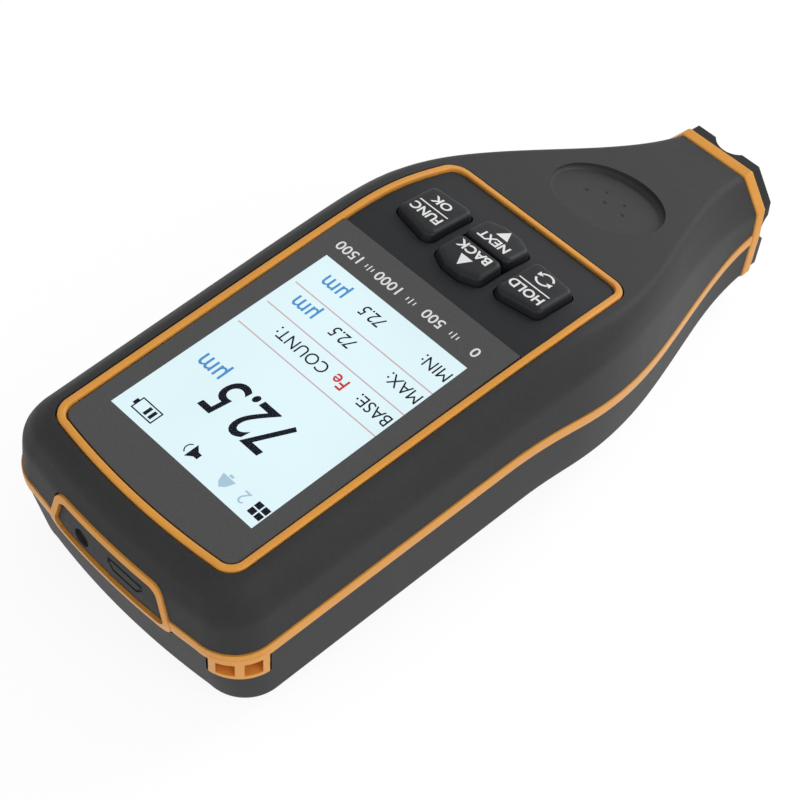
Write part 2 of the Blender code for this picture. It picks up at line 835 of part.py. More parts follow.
def stand_on_floor(parts):
    """Hang every piece on one empty, tip it to its rest and centre it over the origin."""
    gauge = bpy.data.objects.new("gauge", None)
    parts.objects.link(gauge)
    gauge.rotation_euler.x = rest_tilt()
    turn = gauge.rotation_euler.to_matrix()
    corners = [turn @ vert.co for item in parts.objects if item.type == "MESH" for vert in item.data.vertices]
    low = [min(point[axis] for point in corners) for axis in range(3)]
    high = [max(point[axis] for point in corners) for axis in range(3)]
    gauge.location = (-(low[0] + high[0]) / 2.0, -(low[1] + high[1]) / 2.0, -low[2])
    for item in parts.objects:
        if item.type == "MESH":
            item.parent = gauge
    return gauge


def move_origin(item, place):
    """Put a moving piece's own origin on its joint's axis."""
    item.data.transform(Matrix.Translation(-Vector(place)))
    item.location = place


def build():
    """Build every piece of the gauge."""
    clear_scene()
    parts = collection("coating_thickness_gauge")
    guides = collection("cutters")

    orange = material("orange_abs", ORANGE, 0.45)
    black = material("black_elastomer", BLACK, 0.62)
    cap_black = material("black_abs", (0.030, 0.031, 0.033, 1.0), 0.50)
    gloss = material("lens_acrylic", (0.085, 0.085, 0.087, 1.0), 0.18)
    key_black = material("key_rubber", (0.026, 0.028, 0.032, 1.0), 0.45)
    foam = material("foam", (0.02, 0.02, 0.02, 1.0), 0.9)
    glass = material("display_glass", (0.70, 0.91, 0.98, 1.0), 0.15)
    tin = material("tinned_steel", (0.62, 0.63, 0.64, 1.0), 0.35, 1.0)
    board_green = material("board_laminate", (0.015, 0.12, 0.05, 1.0), 0.45)
    switch_black = material("switch_body", (0.03, 0.03, 0.03, 1.0), 0.5)
    foil = material("battery_foil", (0.55, 0.56, 0.58, 1.0), 0.35, 0.8)
    brass = material("probe_brass", (0.78, 0.57, 0.24, 1.0), 0.28, 1.0)
    steel = material("hard_steel", (0.60, 0.60, 0.62, 1.0), 0.2, 1.0)
    copper = material("coil_copper", (0.72, 0.32, 0.14, 1.0), 0.35, 1.0)

    beyond = NECK_END + 0.012
    skin_inner = cutter(body_solid("skin_inner", SKIN_WALL, guides, beyond))
    shell_outer_inset = SKIN_WALL + FIT
    shell_inner = cutter(body_solid("shell_inner", shell_outer_inset + SHELL_WALL, guides, beyond))
    ring = ring_outline()
    opening = offset_outline(ring, FIT)
    window = offset_outline(ring, -RING_WIDTH)
    band_half = BAND_HEIGHT / 2.0
    front_zone = cutter(half_space("front_zone", -(band_half + FIT), True, guides))
    rear_zone = cutter(half_space("rear_zone", band_half + FIT, False, guides))
    port_notch = cutter(front_solid("port_notch", port_corners(PORT_FRAME + FIT), -0.01, 0.02, guides))
    neck_stop = cutter(box("neck_stop", (-0.03, NECK_END - FIT, -0.07), (0.03, 0.19, 0.02), guides))

    # Thumb dish: a leaning disc that bites deepest at its nose side
    lean = math.atan(RAMP_SLOPE) + DISH_TILT
    place = Matrix.Translation((0.0, DISH_Y, -ramp(DISH_Y) - CROWN_DEPTH - DISH_DEPTH / 2.0))

    def dish_disc(name, grow):
        disc = rod(name, DISH_RADIUS + grow, (0, 0, -grow), (0, 0, 0.01), guides, 40)
        disc.data.transform(place @ Matrix.Rotation(-lean, 4, "X"))
        return cutter(disc)

    dish = dish_disc("dish", 0.0)
    skin_dish = dish_disc("skin_dish", SKIN_WALL)
    shell_dish = dish_disc("shell_dish", shell_outer_inset)
    inner_dish = dish_disc("inner_dish", shell_outer_inset + SHELL_WALL)
    cut(skin_inner, skin_dish)
    cut(shell_inner, inner_dish)

    # Skins
    skins = {}
    for name, zone in (("front_overmould", front_zone), ("rear_overmould", rear_zone)):
        skin = cut(body_solid(name, 0.0, parts, beyond), neck_stop)
        soften = skin.modifiers.new("Soften", "BEVEL")
        soften.width = SKIN_SOFTENING
        soften.segments = 2
        soften.limit_method = "ANGLE"
        soften.angle_limit = SKIN_SOFT_ANGLE
        settle(skin)
        keep(skin, zone)
        cut(skin, skin_inner, port_notch)
        skins[name] = skin
    panel_hole = cutter(outline_solid("panel_hole", opening, -0.012, 0.01, guides))
    cut(skins["front_overmould"], panel_hole, dish)

    # Front shell: wall, ring standing up through the skin, and the floor under the lens
    front = body_solid("front_shell", shell_outer_inset, parts, beyond)
    keep(front, front_zone)
    cut(front, neck_stop, shell_inner, shell_dish)
    floor_top = LENS_RECESS + LENS_THICKNESS + 2 * FIT + GASKET_THICKNESS
    floor_low = floor_top + FLOOR_WALL
    join(front, panel_layer("rim", ring, 0.0, floor_low, guides, guides))
    recess = outline_solid("recess", window, -0.03, 0.01, guides)
    above_floor = side_solid("above_floor", ramp_strip(-0.02, floor_top, -0.01, 0.12), 0.05, guides)
    keep(recess, above_floor)
    lcd_low = DISPLAY_FOOT_Y - DISPLAY_MARGIN
    lcd_high = DISPLAY_FOOT_Y + DISPLAY_LENGTH + DISPLAY_MARGIN
    lcd_half = DISPLAY_HALF_WIDTH + DISPLAY_MARGIN
    tray_grow = LCD_FRAME_WALL + FIT
    lcd_hole = box(
        "lcd_hole",
        (-lcd_half - tray_grow - FIT, lcd_low - tray_grow - FIT, -0.03),
        (lcd_half + tray_grow + FIT, lcd_high + tray_grow + FIT, 0.01),
        guides,
    )
    cut(front, recess, lcd_hole, port_notch)

    # Keypad: the keys press square to the panel where it starts to bend
    tilt = ramp_tilt(KEYPAD_Y)
    keypad_place = Matrix.Translation((0.0, KEYPAD_Y, -ramp(KEYPAD_Y))) @ Matrix.Rotation(-tilt, 4, "X")

    def key_prism(name, kind, grow, group):
        outline = rounded_outline(offset_outline(key_corners(kind), grow), KEY_RADIUS, 3)
        made = outline_solid(name, outline, -0.02, 0.01, group)
        made.data.transform(keypad_place)
        return made

    def middle_slot(name, half, group):
        made = box(name, (-half, -SLOT_HALF, -0.02), (half, SLOT_HALF, 0.01), group)
        made.data.transform(keypad_place)
        return made

    flange_grow = KEY_FLANGE + SLIDE_FIT
    mat_low = floor_top - FIT
    inner_outline = offset_outline(ring, -(RING_WIDTH + FIT))
    mat = panel_layer("keypad_mat", inner_outline, MAT_RECESS, mat_low, parts, guides)
    cut(mat, box("mat_end", (-0.03, -0.01, -0.03), (0.03, LENS_END_Y + FIT / 2, 0.01), guides))
    for kind in KEY_KINDS:
        cut(front, key_prism("floor_hole_" + kind, kind, flange_grow, guides))
        cut(mat, key_prism("mat_hole_" + kind, kind, SLIDE_FIT, guides))
    cut(front, middle_slot("floor_slot", MIDDLE_KEY_WIDTH / 2 + flange_grow, guides))
    cut(mat, middle_slot("mat_slot", MIDDLE_KEY_WIDTH / 2 + SLIDE_FIT, guides))
    flange_top = mat_low + FIT
    flange_low = flange_top + KEY_FLANGE_THICKNESS
    plunger_top = BOARD_DEPTH - FIT - SWITCH_HEIGHT - SWITCH_PLUNGER_HEIGHT
    keys = {}
    for kind in KEY_KINDS:
        centre = key_centre(kind)
        strip = side_solid("key_strip", ramp_strip(-KEY_PROUD, flange_low, 0.07, 0.11), 0.03, guides)
        key = keep(key_prism("key_" + kind, kind, 0.0, parts), strip)
        low_strip = side_solid("flange_strip", ramp_strip(flange_top, flange_low, 0.07, 0.11), 0.03, guides)
        flange = keep(key_prism("flange_" + kind, kind, KEY_FLANGE, guides), low_strip)
        if kind in ("up", "down"):
            slot = middle_slot("flange_slot", MIDDLE_KEY_WIDTH, guides)
            side = 1.0 if kind == "up" else -1.0
            shift = Matrix.Translation((0.0, side * (MIDDLE_KEY_SPLIT / 2.0 - SLOT_HALF), 0.0))
            slot.data.transform(keypad_place @ shift @ keypad_place.inverted())
            cut(flange, slot)
        join(key, flange)
        foot = keypad_place @ Vector((centre[0], centre[1], 0.0))
        reach = plunger_top - KEY_TRAVEL - STEM_MARGIN + foot.z
        low = keypad_place @ Vector((centre[0], centre[1], -reach / math.cos(tilt)))
        stem = rod("stem", STEM_RADIUS, (0, 0, -reach / math.cos(tilt)), (0, 0, -KEY_PROUD / 2), guides, 12)
        stem.data.transform(keypad_place @ Matrix.Translation((centre[0], centre[1], 0.0)))
        join(key, stem)
        keys[kind] = key
        switch = box(
            "switch_" + kind,
            (low.x - SWITCH_SIZE / 2, low.y - SWITCH_SIZE / 2, -BOARD_DEPTH + FIT),
            (low.x + SWITCH_SIZE / 2, low.y + SWITCH_SIZE / 2, -BOARD_DEPTH + FIT + SWITCH_HEIGHT),
            parts,
        )
        base = -BOARD_DEPTH + FIT + SWITCH_HEIGHT
        plunger = rod(
            "plunger",
            SWITCH_PLUNGER_RADIUS,
            (low.x, low.y, base - SWITCH_HEIGHT / 2),
            (low.x, low.y, base + SWITCH_PLUNGER_HEIGHT),
            guides,
            12,
        )
        join(switch, plunger)

    # Rear shell: wall, parting band, port frame and lanyard eye
    rear = body_solid("rear_shell", shell_outer_inset, parts, beyond)
    keep(rear, half_space("rear_half", -band_half, False, guides))
    band = body_solid("band", -BAND_PROUD, guides, beyond)
    keep(band, half_space("band_top", -band_half - 1e-5, False, guides))
    keep(band, half_space("band_bottom", band_half, True, guides))
    frame = front_solid("port_frame", port_corners(PORT_FRAME), -0.01, 0.012, guides)
    keep(frame, body_solid("frame_body", -BAND_PROUD * 1.5, guides, beyond))
    join(rear, band, frame)
    cut(rear, neck_stop)
    eye_place, eye_block, eye_notch = eye_solids(guides, FIT)
    keep(eye_block, body_solid("eye_body", -BAND_PROUD * 1.25, guides, beyond))
    cut(rear, shell_inner)
    join(rear, eye_block)
    cut(rear, *eye_openings(eye_place, guides))
    cut(skins["rear_overmould"], eye_notch)
    pocket = front_solid("pocket", port_corners(0.0), -0.01, 0.012, guides)
    pocket_depth = PLUG_RECESS + PLUG_THICKNESS + FIT
    cut(pocket, body_solid("pocket_body", pocket_depth, guides, NECK_END))
    socket_low = -BOARD_DEPTH - BOARD_THICKNESS - FIT - SOCKET_HEIGHT
    socket_z = socket_low + SOCKET_HEIGHT / 2
    socket_hole = box(
        "socket_hole",
        (-SOCKET_WIDTH / 2 - FIT, -0.01, socket_low - FIT),
        (SOCKET_WIDTH / 2 + FIT, 0.012, socket_low + SOCKET_HEIGHT + FIT),
        guides,
    )
    cut(rear, pocket, socket_hole)

    # Port plug: a curved lid with a tongue in the socket, a finger notch and a sunk outline
    plug = front_solid("port_plug", port_corners(-FIT), -0.01, 0.012, parts)
    keep(plug, body_solid("plug_face", PLUG_RECESS, guides, NECK_END))
    cut(plug, body_solid("plug_back", PLUG_RECESS + PLUG_THICKNESS, guides, NECK_END))
    tongue_y = pocket_depth + SOCKET_SETBACK + PLUG_BOSS_LENGTH
    tongue = box(
        "tongue",
        (-PLUG_BOSS_WIDTH / 2, PLUG_RECESS + PLUG_THICKNESS / 2, socket_z - PLUG_BOSS_HEIGHT / 2),
        (PLUG_BOSS_WIDTH / 2, tongue_y, socket_z + PLUG_BOSS_HEIGHT / 2),
        guides,
    )
    join(plug, tongue)
    notch_near = (NOTCH_X, -0.01, -NOTCH_Z)
    notch_far = (NOTCH_X, PLUG_RECESS + NOTCH_DEPTH, -NOTCH_Z)
    notch = rod("finger_notch", NOTCH_RADIUS, notch_near, notch_far, guides, 20, "Y")
    cut(plug, notch, icon_groove(guides))

    # Charging socket
    socket_y = pocket_depth + SOCKET_SETBACK
    socket_end = socket_y + SOCKET_LENGTH
    socket_high = socket_low + SOCKET_HEIGHT
    socket = box(
        "charging_socket",
        (-SOCKET_WIDTH / 2, socket_y, socket_low),
        (SOCKET_WIDTH / 2, socket_end, socket_high),
        parts,
    )
    mouth = box(
        "mouth",
        (-SOCKET_WIDTH / 2 + SOCKET_WALL, socket_y - SOCKET_WALL, socket_low + SOCKET_WALL),
        (SOCKET_WIDTH / 2 - SOCKET_WALL, socket_end - SOCKET_WALL, socket_high - SOCKET_WALL),
        guides,
    )
    cut(socket, mouth)

    # Case screws stand in bosses that meet at the parting
    limit = body_solid("boss_limit", shell_outer_inset + SHELL_WALL / 2, guides, beyond)
    screw_places = [(side * SCREW_X, y) for side in (-1, 1) for y in (SCREW_FOOT_Y, SCREW_NOSE_Y)]
    for number, (x, y) in enumerate(screw_places, 1):
        meet = parting_depth(y)
        head_depth = BACK_DEPTH - SCREW_RECESS
        seat = head_depth - SCREW_HEAD_HEIGHT
        floor_depth = BACK_DEPTH - shell_outer_inset - SHELL_WALL / 2
        boss_top = -BOSS_TOP_DEPTH
        upper = rod("upper_boss", BOSS_RADIUS, (x, y, -meet + band_half + FIT), (x, y, boss_top), guides)
        half = half_width(y, BODY_HALF_WIDTH, NOSE_HALF_WIDTH, NECK_START)
        wall = half - shell_outer_inset - SHELL_WALL / 2
        rib_x = sorted((x, math.copysign(wall, x)))
        rib = box(
            "rib",
            (rib_x[0], y - RIB_WALL / 2, -meet + band_half + 2 * FIT),
            (rib_x[1], y + RIB_WALL / 2, boss_top - RIB_WALL),
            guides,
        )
        join(upper, rib)
        keep(upper, limit)
        pilot_end = (x, y, boss_top - RIB_WALL * 2)
        pilot = rod("pilot", SCREW_SHANK_RADIUS + FIT, (x, y, -meet), pilot_end, guides, 16)
        join(front, upper)
        cut(front, pilot)
        lower = rod("lower_boss", BOSS_RADIUS, (x, y, -floor_depth), (x, y, -meet + band_half), guides)
        keep(lower, limit)
        join(rear, lower)
        through = rod("through", SCREW_SHANK_RADIUS + FIT, (x, y, -0.05), (x, y, 0.0), guides, 16)
        counter = rod("counter", SCREW_HEAD_RADIUS + FIT, (x, y, -0.05), (x, y, -seat + FIT), guides)
        cut(rear, through, counter)
        cut(skins["rear_overmould"], counter)
        head = rod("case_screw_%d" % number, SCREW_HEAD_RADIUS, (x, y, -head_depth), (x, y, -seat), parts, 24)
        shank_low = (x, y, -seat - SCREW_HEAD_HEIGHT / 4)
        shank = rod("shank", SCREW_SHANK_RADIUS, shank_low, (x, y, -seat + SCREW_LENGTH), guides, 16)
        driver_low = (x, y, -head_depth - SCREW_HEAD_HEIGHT)
        driver_top = (x, y, -head_depth + SCREW_HEAD_HEIGHT / 2)
        driver = rod("driver", SCREW_HEAD_RADIUS / 2, driver_low, driver_top, guides, 6)
        join(head, shank)
        cut(head, driver)

    # Main board on four posts, with its screws
    board_low = BOARD_DEPTH + BOARD_THICKNESS
    board = box(
        "main_board",
        (-BOARD_HALF_WIDTH, BOARD_START, -board_low),
        (BOARD_HALF_WIDTH, BOARD_START + BOARD_LENGTH, -BOARD_DEPTH),
        parts,
    )
    for offset in (-1, 1):
        chip = box(
            "chip",
            (offset * CHIP_SIZE - CHIP_SIZE * 0.4, CHIP_Y - CHIP_SIZE / 2, -board_low - CHIP_HEIGHT),
            (offset * CHIP_SIZE + CHIP_SIZE * 0.4, CHIP_Y + CHIP_SIZE / 2, -board_low + 0.0003),
            guides,
        )
        join(board, chip)
    post_places = [(side * POST_X, y) for side in (-1, 1) for y in (POST_FOOT_Y, POST_NOSE_Y)]
    for number, (x, y) in enumerate(post_places, 1):
        root_depth = ramp(y) + floor_low - FLOOR_WALL / 2
        post = rod("post", POST_RADIUS, (x, y, -BOARD_DEPTH + FIT), (x, y, -root_depth), guides, 20)
        join(front, post)
        pilot_top = (x, y, -root_depth - FLOOR_WALL / 3)
        pilot = rod("post_pilot", BOARD_SCREW_RADIUS + FIT, (x, y, -0.05), pilot_top, guides, 12)
        cut(front, pilot)
        cut(board, pilot)
        top = -board_low - FIT
        head_low = (x, y, top - BOARD_SCREW_HEAD_HEIGHT)
        head = rod("board_screw_%d" % number, BOARD_SCREW_HEAD, head_low, (x, y, top), parts, 16)
        reach = min(BOARD_SCREW_LENGTH, board_low - root_depth - 2 * FIT)
        shank = rod("shank", BOARD_SCREW_RADIUS, (x, y, top - 0.0003), (x, y, top + reach), guides, 12)
        join(head, shank)

    # Lens, gasket, display and its tray
    lens = outline_solid("screen_lens", inner_outline, -LENS_RECESS - LENS_THICKNESS, -LENS_RECESS, parts)
    lens_stop = box("lens_stop", (-0.03, LENS_END_Y - FIT / 2, -0.03), (0.03, 0.13, 0.01), guides)
    cut(lens, lens_stop)
    gasket_top = LENS_RECESS + LENS_THICKNESS + FIT
    gasket_outline = offset_outline(inner_outline, -FIT)
    gasket_low = gasket_top + GASKET_THICKNESS
    gasket = outline_solid("lens_gasket", gasket_outline, -gasket_low, -gasket_top, parts)
    gasket_stop = box("gasket_stop", (-0.03, LENS_END_Y - 2 * FIT, -0.03), (0.03, 0.13, 0.01), guides)
    cut(gasket, gasket_stop, lcd_hole)
    lcd_top = LENS_RECESS + LENS_THICKNESS + FIT
    lcd_floor = lcd_top + LCD_THICKNESS
    box("lcd_panel", (-lcd_half, lcd_low, -lcd_floor), (lcd_half, lcd_high, -lcd_top), parts)
    tray_low = lcd_floor + FIT + LCD_FRAME_WALL
    tray = box(
        "lcd_frame",
        (-lcd_half - tray_grow, lcd_low - tray_grow, -tray_low),
        (lcd_half + tray_grow, lcd_high + tray_grow, -lcd_top - FIT),
        parts,
    )
    hollow = box(
        "tray_hollow",
        (-lcd_half - FIT, lcd_low - FIT, -lcd_floor - FIT),
        (lcd_half + FIT, lcd_high + FIT, 0.0),
        guides,
    )
    cut(tray, hollow)
    for x in (-LCD_LEG_X, LCD_LEG_X):
        for y in (lcd_low + LCD_LEG_RADIUS * 3, lcd_high - LCD_LEG_RADIUS * 3):
            leg_low = (x, y, -BOARD_DEPTH + FIT)
            leg_top = (x, y, -tray_low + LCD_FRAME_WALL / 2)
            join(tray, rod("leg", LCD_LEG_RADIUS, leg_low, leg_top, guides, 16))

    # Battery on its pad, and the buzzer under the board
    shell_floor = BACK_DEPTH - shell_outer_inset - SHELL_WALL
    pad_low = shell_floor - FIT
    pad_half = BATTERY_WIDTH / 2 - BATTERY_CORNER
    pad = box(
        "battery_pad",
        (-pad_half, BATTERY_START + BATTERY_CORNER, -pad_low),
        (pad_half, BATTERY_START + BATTERY_LENGTH - BATTERY_CORNER, -pad_low + PAD_THICKNESS),
        parts,
    )
    battery_low = pad_low - PAD_THICKNESS - FIT
    battery = box(
        "battery_pack",
        (-BATTERY_WIDTH / 2, BATTERY_START, -battery_low),
        (BATTERY_WIDTH / 2, BATTERY_START + BATTERY_LENGTH, -battery_low + BATTERY_THICKNESS),
        parts,
    )
    soften = battery.modifiers.new("Round", "BEVEL")
    soften.width = BATTERY_CORNER
    soften.segments = 2
    settle(battery)
    buzzer_top = board_low + FIT
    buzzer_low = buzzer_top + BUZZER_HEIGHT
    buzzer = rod("buzzer", BUZZER_RADIUS, (0, BUZZER_Y, -buzzer_low), (0, BUZZER_Y, -buzzer_top), parts, 28)
    hole_low = (0, BUZZER_Y, -buzzer_low - SOUND_HOLE_DEPTH)
    hole_top = (0, BUZZER_Y, -buzzer_low + SOUND_HOLE_DEPTH)
    cut(buzzer, rod("sound_hole", SOUND_HOLE_RADIUS, hole_low, hole_top, guides, 16))

    # Nose collar with its spigot, and the grooved measuring cap
    axis_z = -PROBE_DEPTH
    collar_end = NECK_END + COLLAR_WIDTH
    collar = front_solid("nose_collar", nose_section(-COLLAR_PROUD), NECK_END, collar_end, parts)
    spigot_radius = GUIDE_RADIUS + FIT + SPIGOT_WALL
    spigot_start = (0, NECK_END - SPIGOT_LENGTH, axis_z)
    spigot_end = (0, NECK_END + COLLAR_WIDTH / 4, axis_z)
    join(collar, rod("spigot", spigot_radius, spigot_start, spigot_end, guides, 36, "Y"))
    cut(collar, rod("collar_bore", GUIDE_RADIUS + FIT, (0, 0.14, axis_z), (0, 0.17, axis_z), guides, 36, "Y"))
    cap_start = collar_end + FIT
    cap_end = cap_start + CAP_REACH
    cap = front_solid("nose_cap", nose_section(CAP_INSET), cap_start, cap_end, parts)
    groove_y = cap_end + SCALLOP_RADIUS - SCALLOP_DEPTH
    upright = rod("upright_groove", SCALLOP_RADIUS, (0, groove_y, -0.08), (0, groove_y, 0.0), guides, 40)
    level = rod("level_groove", SCALLOP_RADIUS, (0, 0, -0.03), (0, 0, 0.03), guides, 40)
    level.data.transform(Matrix.Translation((0, groove_y, axis_z)) @ Matrix.Rotation(math.pi / 2, 4, "Y"))
    cap_hole = PROBE_RADIUS + SLIDE_FIT
    cap_bore = rod("cap_bore", cap_hole, (0, 0.14, axis_z), (0, 0.18, axis_z), guides, 36, "Y")
    cut(cap, upright, level, cap_bore)

    # Probe: guide tube, sliding sleeve, coil, pole tip and the spring at its pressed length
    guide_end = collar_end - FIT
    guide_start = guide_end - GUIDE_LENGTH
    guide = rod("probe_guide", GUIDE_RADIUS, (0, guide_start, axis_z), (0, guide_end, axis_z), parts, 36, "Y")
    bore_start = (0, guide_start + GUIDE_WALL, axis_z)
    bore = rod("guide_bore", GUIDE_RADIUS - GUIDE_WALL, bore_start, (0, 0.18, axis_z), guides, 36, "Y")
    lead_hole = rod("lead_hole", LEAD_RADIUS + 2 * FIT, (0, 0.1, axis_z), (0, 0.16, axis_z), guides, 12, "Y")
    cut(guide, bore, lead_hole)
    sleeve_end = cap_end + PROBE_PROUD
    sleeve_start = sleeve_end - PROBE_LENGTH
    sleeve_low = (0, sleeve_start, axis_z)
    sleeve = rod("probe_sleeve", PROBE_RADIUS, sleeve_low, (0, sleeve_end, axis_z), parts, 36, "Y")
    bore_end = (0, sleeve_end - PROBE_WALL, axis_z)
    sleeve_bore = rod("sleeve_bore", PROBE_RADIUS - PROBE_WALL, (0, 0.1, axis_z), bore_end, guides, 36, "Y")
    tip_hole = rod("tip_hole", TIP_RADIUS + FIT, (0, 0.1, axis_z), (0, 0.18, axis_z), guides, 20, "Y")
    cut(sleeve, sleeve_bore, tip_hole)
    coil_end = sleeve_end - PROBE_WALL - FIT
    coil_start = coil_end - COIL_LENGTH
    coil = rod("probe_coil", COIL_RADIUS, (0, coil_start, axis_z), (0, coil_end, axis_z), parts, 32, "Y")
    cut(coil, tip_hole)
    tip_end = sleeve_end + TIP_PROUD
    tip = rod("probe_tip", TIP_RADIUS, (0, coil_start, axis_z), (0, tip_end, axis_z), parts, 20, "Y")
    crown = tip.modifiers.new("Crown", "BEVEL")
    crown.width = TIP_PROUD * 0.8
    crown.segments = 3
    crown.limit_method = "ANGLE"
    crown.angle_limit = math.radians(60)
    settle(tip)
    spring_start = guide_start + GUIDE_WALL + FIT + SPRING_WIRE
    spring_end = sleeve_start - PROBE_TRAVEL - FIT - SPRING_WIRE
    coil_spring("probe_spring", spring_start, spring_end, axis_z, parts)
    lead_tube("probe_lead", board_low, guide_start, axis_z, parts)

    dressings = {
        "front_overmould": black,
        "rear_overmould": black,
        "front_shell": orange,
        "rear_shell": orange,
        "nose_collar": orange,
        "nose_cap": cap_black,
        "screen_lens": gloss,
        "lens_gasket": foam,
        "lcd_panel": glass,
        "lcd_frame": tin,
        "keypad_mat": key_black,
        "main_board": board_green,
        "charging_socket": tin,
        "port_plug": black,
        "battery_pack": foil,
        "battery_pad": foam,
        "buzzer": switch_black,
        "probe_guide": cap_black,
        "probe_sleeve": brass,
        "probe_coil": copper,
        "probe_tip": steel,
        "probe_spring": steel,
        "probe_lead": switch_black,
    }
    for kind in KEY_KINDS:
        dressings["key_" + kind] = key_black
        dressings["switch_" + kind] = switch_black
    for number in range(1, 5):
        dressings["case_screw_%d" % number] = steel
        dressings["board_screw_%d" % number] = steel
    for name, dressing in dressings.items():
        finish(parts.objects[name], dressing)
    for guide_object in guides.objects:
        cutter(guide_object)

    # Moving pieces turn or slide about their own origins
    stand_on_floor(parts)
    for kind, key in keys.items():
        x, y = key_centre(kind)
        move_origin(key, keypad_place @ Vector((x, y, 0.0)))
    move_origin(plug, (PORT_HALF_WIDTH_BOTTOM - FIT, PLUG_RECESS, -PORT_DEPTH))
    for piece in (sleeve, coil, tip):
        move_origin(piece, (0.0, sleeve_end, axis_z))


build()
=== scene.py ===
"""Dress the coating thickness gauge: smooth skins, printed screen, key legends and finishes.

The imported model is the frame. Each new piece is worked out in the gauge's own panel frame, where
X runs across, Y from the foot end to the nose, and the display's panel is Z = 0. Its mesh is then
carried into the row frame, in which the gauge lies tipped on its foot edge and its nose.
"""
import json
import logging
import math
from dataclasses import dataclass
from enum import Enum
from functools import cache
from typing import Any, Callable, NamedTuple, Sequence

import bmesh
import bpy
from mathutils import Matrix, Vector


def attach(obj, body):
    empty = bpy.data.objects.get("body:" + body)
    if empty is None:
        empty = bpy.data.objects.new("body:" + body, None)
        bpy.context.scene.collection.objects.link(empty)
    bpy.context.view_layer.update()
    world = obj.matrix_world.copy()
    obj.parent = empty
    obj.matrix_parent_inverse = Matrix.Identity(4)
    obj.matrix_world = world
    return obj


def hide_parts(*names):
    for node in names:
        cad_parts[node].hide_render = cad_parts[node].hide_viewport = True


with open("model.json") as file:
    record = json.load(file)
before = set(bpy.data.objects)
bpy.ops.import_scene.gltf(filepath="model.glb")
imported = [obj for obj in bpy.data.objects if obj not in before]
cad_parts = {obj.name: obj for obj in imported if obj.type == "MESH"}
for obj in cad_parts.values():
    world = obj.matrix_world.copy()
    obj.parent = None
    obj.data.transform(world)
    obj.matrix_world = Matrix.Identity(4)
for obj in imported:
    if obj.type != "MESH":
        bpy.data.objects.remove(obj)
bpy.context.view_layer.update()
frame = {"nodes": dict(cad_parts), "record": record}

Point = tuple[float, float]
Place = tuple[float, float, float]
Colour = tuple[float, float, float]
Piece = bpy.types.Object
Socket = bpy.types.NodeSocket

LOG = logging.getLogger("gauge")
HOUSING = "housing"
MERGE = 1e-7
SIDEWAYS = Matrix(((0, 0, 1, 0), (1, 0, 0, 0), (0, 1, 0, 0), (0, 0, 0, 1)))
LENGTHWAYS = Matrix(((1, 0, 0, 0), (0, 0, 1, 0), (0, 1, 0, 0), (0, 0, 0, 1)))


# Geometry helpers


def smooth_step(value: float, start: float, end: float) -> float:
    """Ease from 0 at the start to 1 at the end."""
    share = min(max((value - start) / (end - start), 0.0), 1.0)
    return share * share * (3.0 - 2.0 * share)


def new_object(name: str, data: Any) -> Piece:
    """Link a mesh, curve, lamp or camera to the scene as an object, and return it."""
    made = bpy.data.objects.new(name, data)
    bpy.context.scene.collection.objects.link(made)
    return made


def from_points(name: str, points: Sequence[Place], faces: Sequence[Sequence[int]] = ()) -> Piece:
    """Make an object of points and faces, and return it."""
    mesh = bpy.data.meshes.new(name)
    mesh.from_pydata(points, [], faces)
    return new_object(name, mesh)


def from_shape(name: str, shape: bmesh.types.BMesh, turned: bool = False) -> Piece:
    """Make an object of a closed shape, with its faces outwards.

    Args:
        name: Name of the object.
        shape: The shape, which is freed.
        turned: Whether its faces already point outwards.

    Returns:
        The object.
    """
    if not turned:
        bmesh.ops.recalc_face_normals(shape, faces=shape.faces)
    mesh = bpy.data.meshes.new(name)
    shape.to_mesh(mesh)
    shape.free()
    return new_object(name, mesh)


def evaluated(item: Piece) -> bpy.types.Mesh:
    """Return a plain mesh of an object with its modifiers applied."""
    bpy.context.view_layer.update()
    graph = bpy.context.evaluated_depsgraph_get()
    return bpy.data.meshes.new_from_object(item.evaluated_get(graph), depsgraph=graph)


def settle(item: Piece) -> Piece:
    """Turn an object's modifiers into plain mesh, and return it."""
    mesh = evaluated(item)
    item.modifiers.clear()
    item.data = mesh
    return item


def combine(item: Piece, operation: str, *others: Piece) -> Piece:
    """Apply one Boolean for each of the other solids, and remove that solid.

    Args:
        item: The solid that is worked on.
        operation: DIFFERENCE, UNION or INTERSECT.
        others: The solids to use, in order.

    Returns:
        The worked solid.
    """
    for other in others:
        step = item.modifiers.new("Combine", "BOOLEAN")
        step.operation = operation
        step.object = other
        settle(item)
        bpy.data.objects.remove(other, do_unlink=True)
    return item


def round_edges(
    item: Piece, width: float, segments: int, angle: float = 30.0, clamp: bool = True
) -> Piece:
    """Round an object's edges with a bevel.

    Args:
        item: The object to round.
        width: The bevel's width.
        segments: Faces across each rounding.
        angle: Edges sharper than this, in degrees, are rounded.
        clamp: Whether neighbouring roundings are kept apart.

    Returns:
        The same object.
    """
    step = item.modifiers.new("Round", "BEVEL")
    step.width = width
    step.segments = segments
    step.limit_method = "ANGLE"
    step.angle_limit = math.radians(angle)
    step.use_clamp_overlap = clamp
    return settle(item)


def shade(item: Piece, angle: float = 0.6) -> Piece:
    """Shade an object smooth between its sharp edges, with face-weighted normals.

    Args:
        item: The object to shade.
        angle: Edges sharper than this, in radians, stay sharp.

    Returns:
        The same object.
    """
    item.data.shade_smooth()
    item.data.set_sharp_from_angle(angle=angle)
    weigh = item.modifiers.new("Weigh", "WEIGHTED_NORMAL")
    weigh.keep_sharp = True
    weigh.weight = 60
    return settle(item)


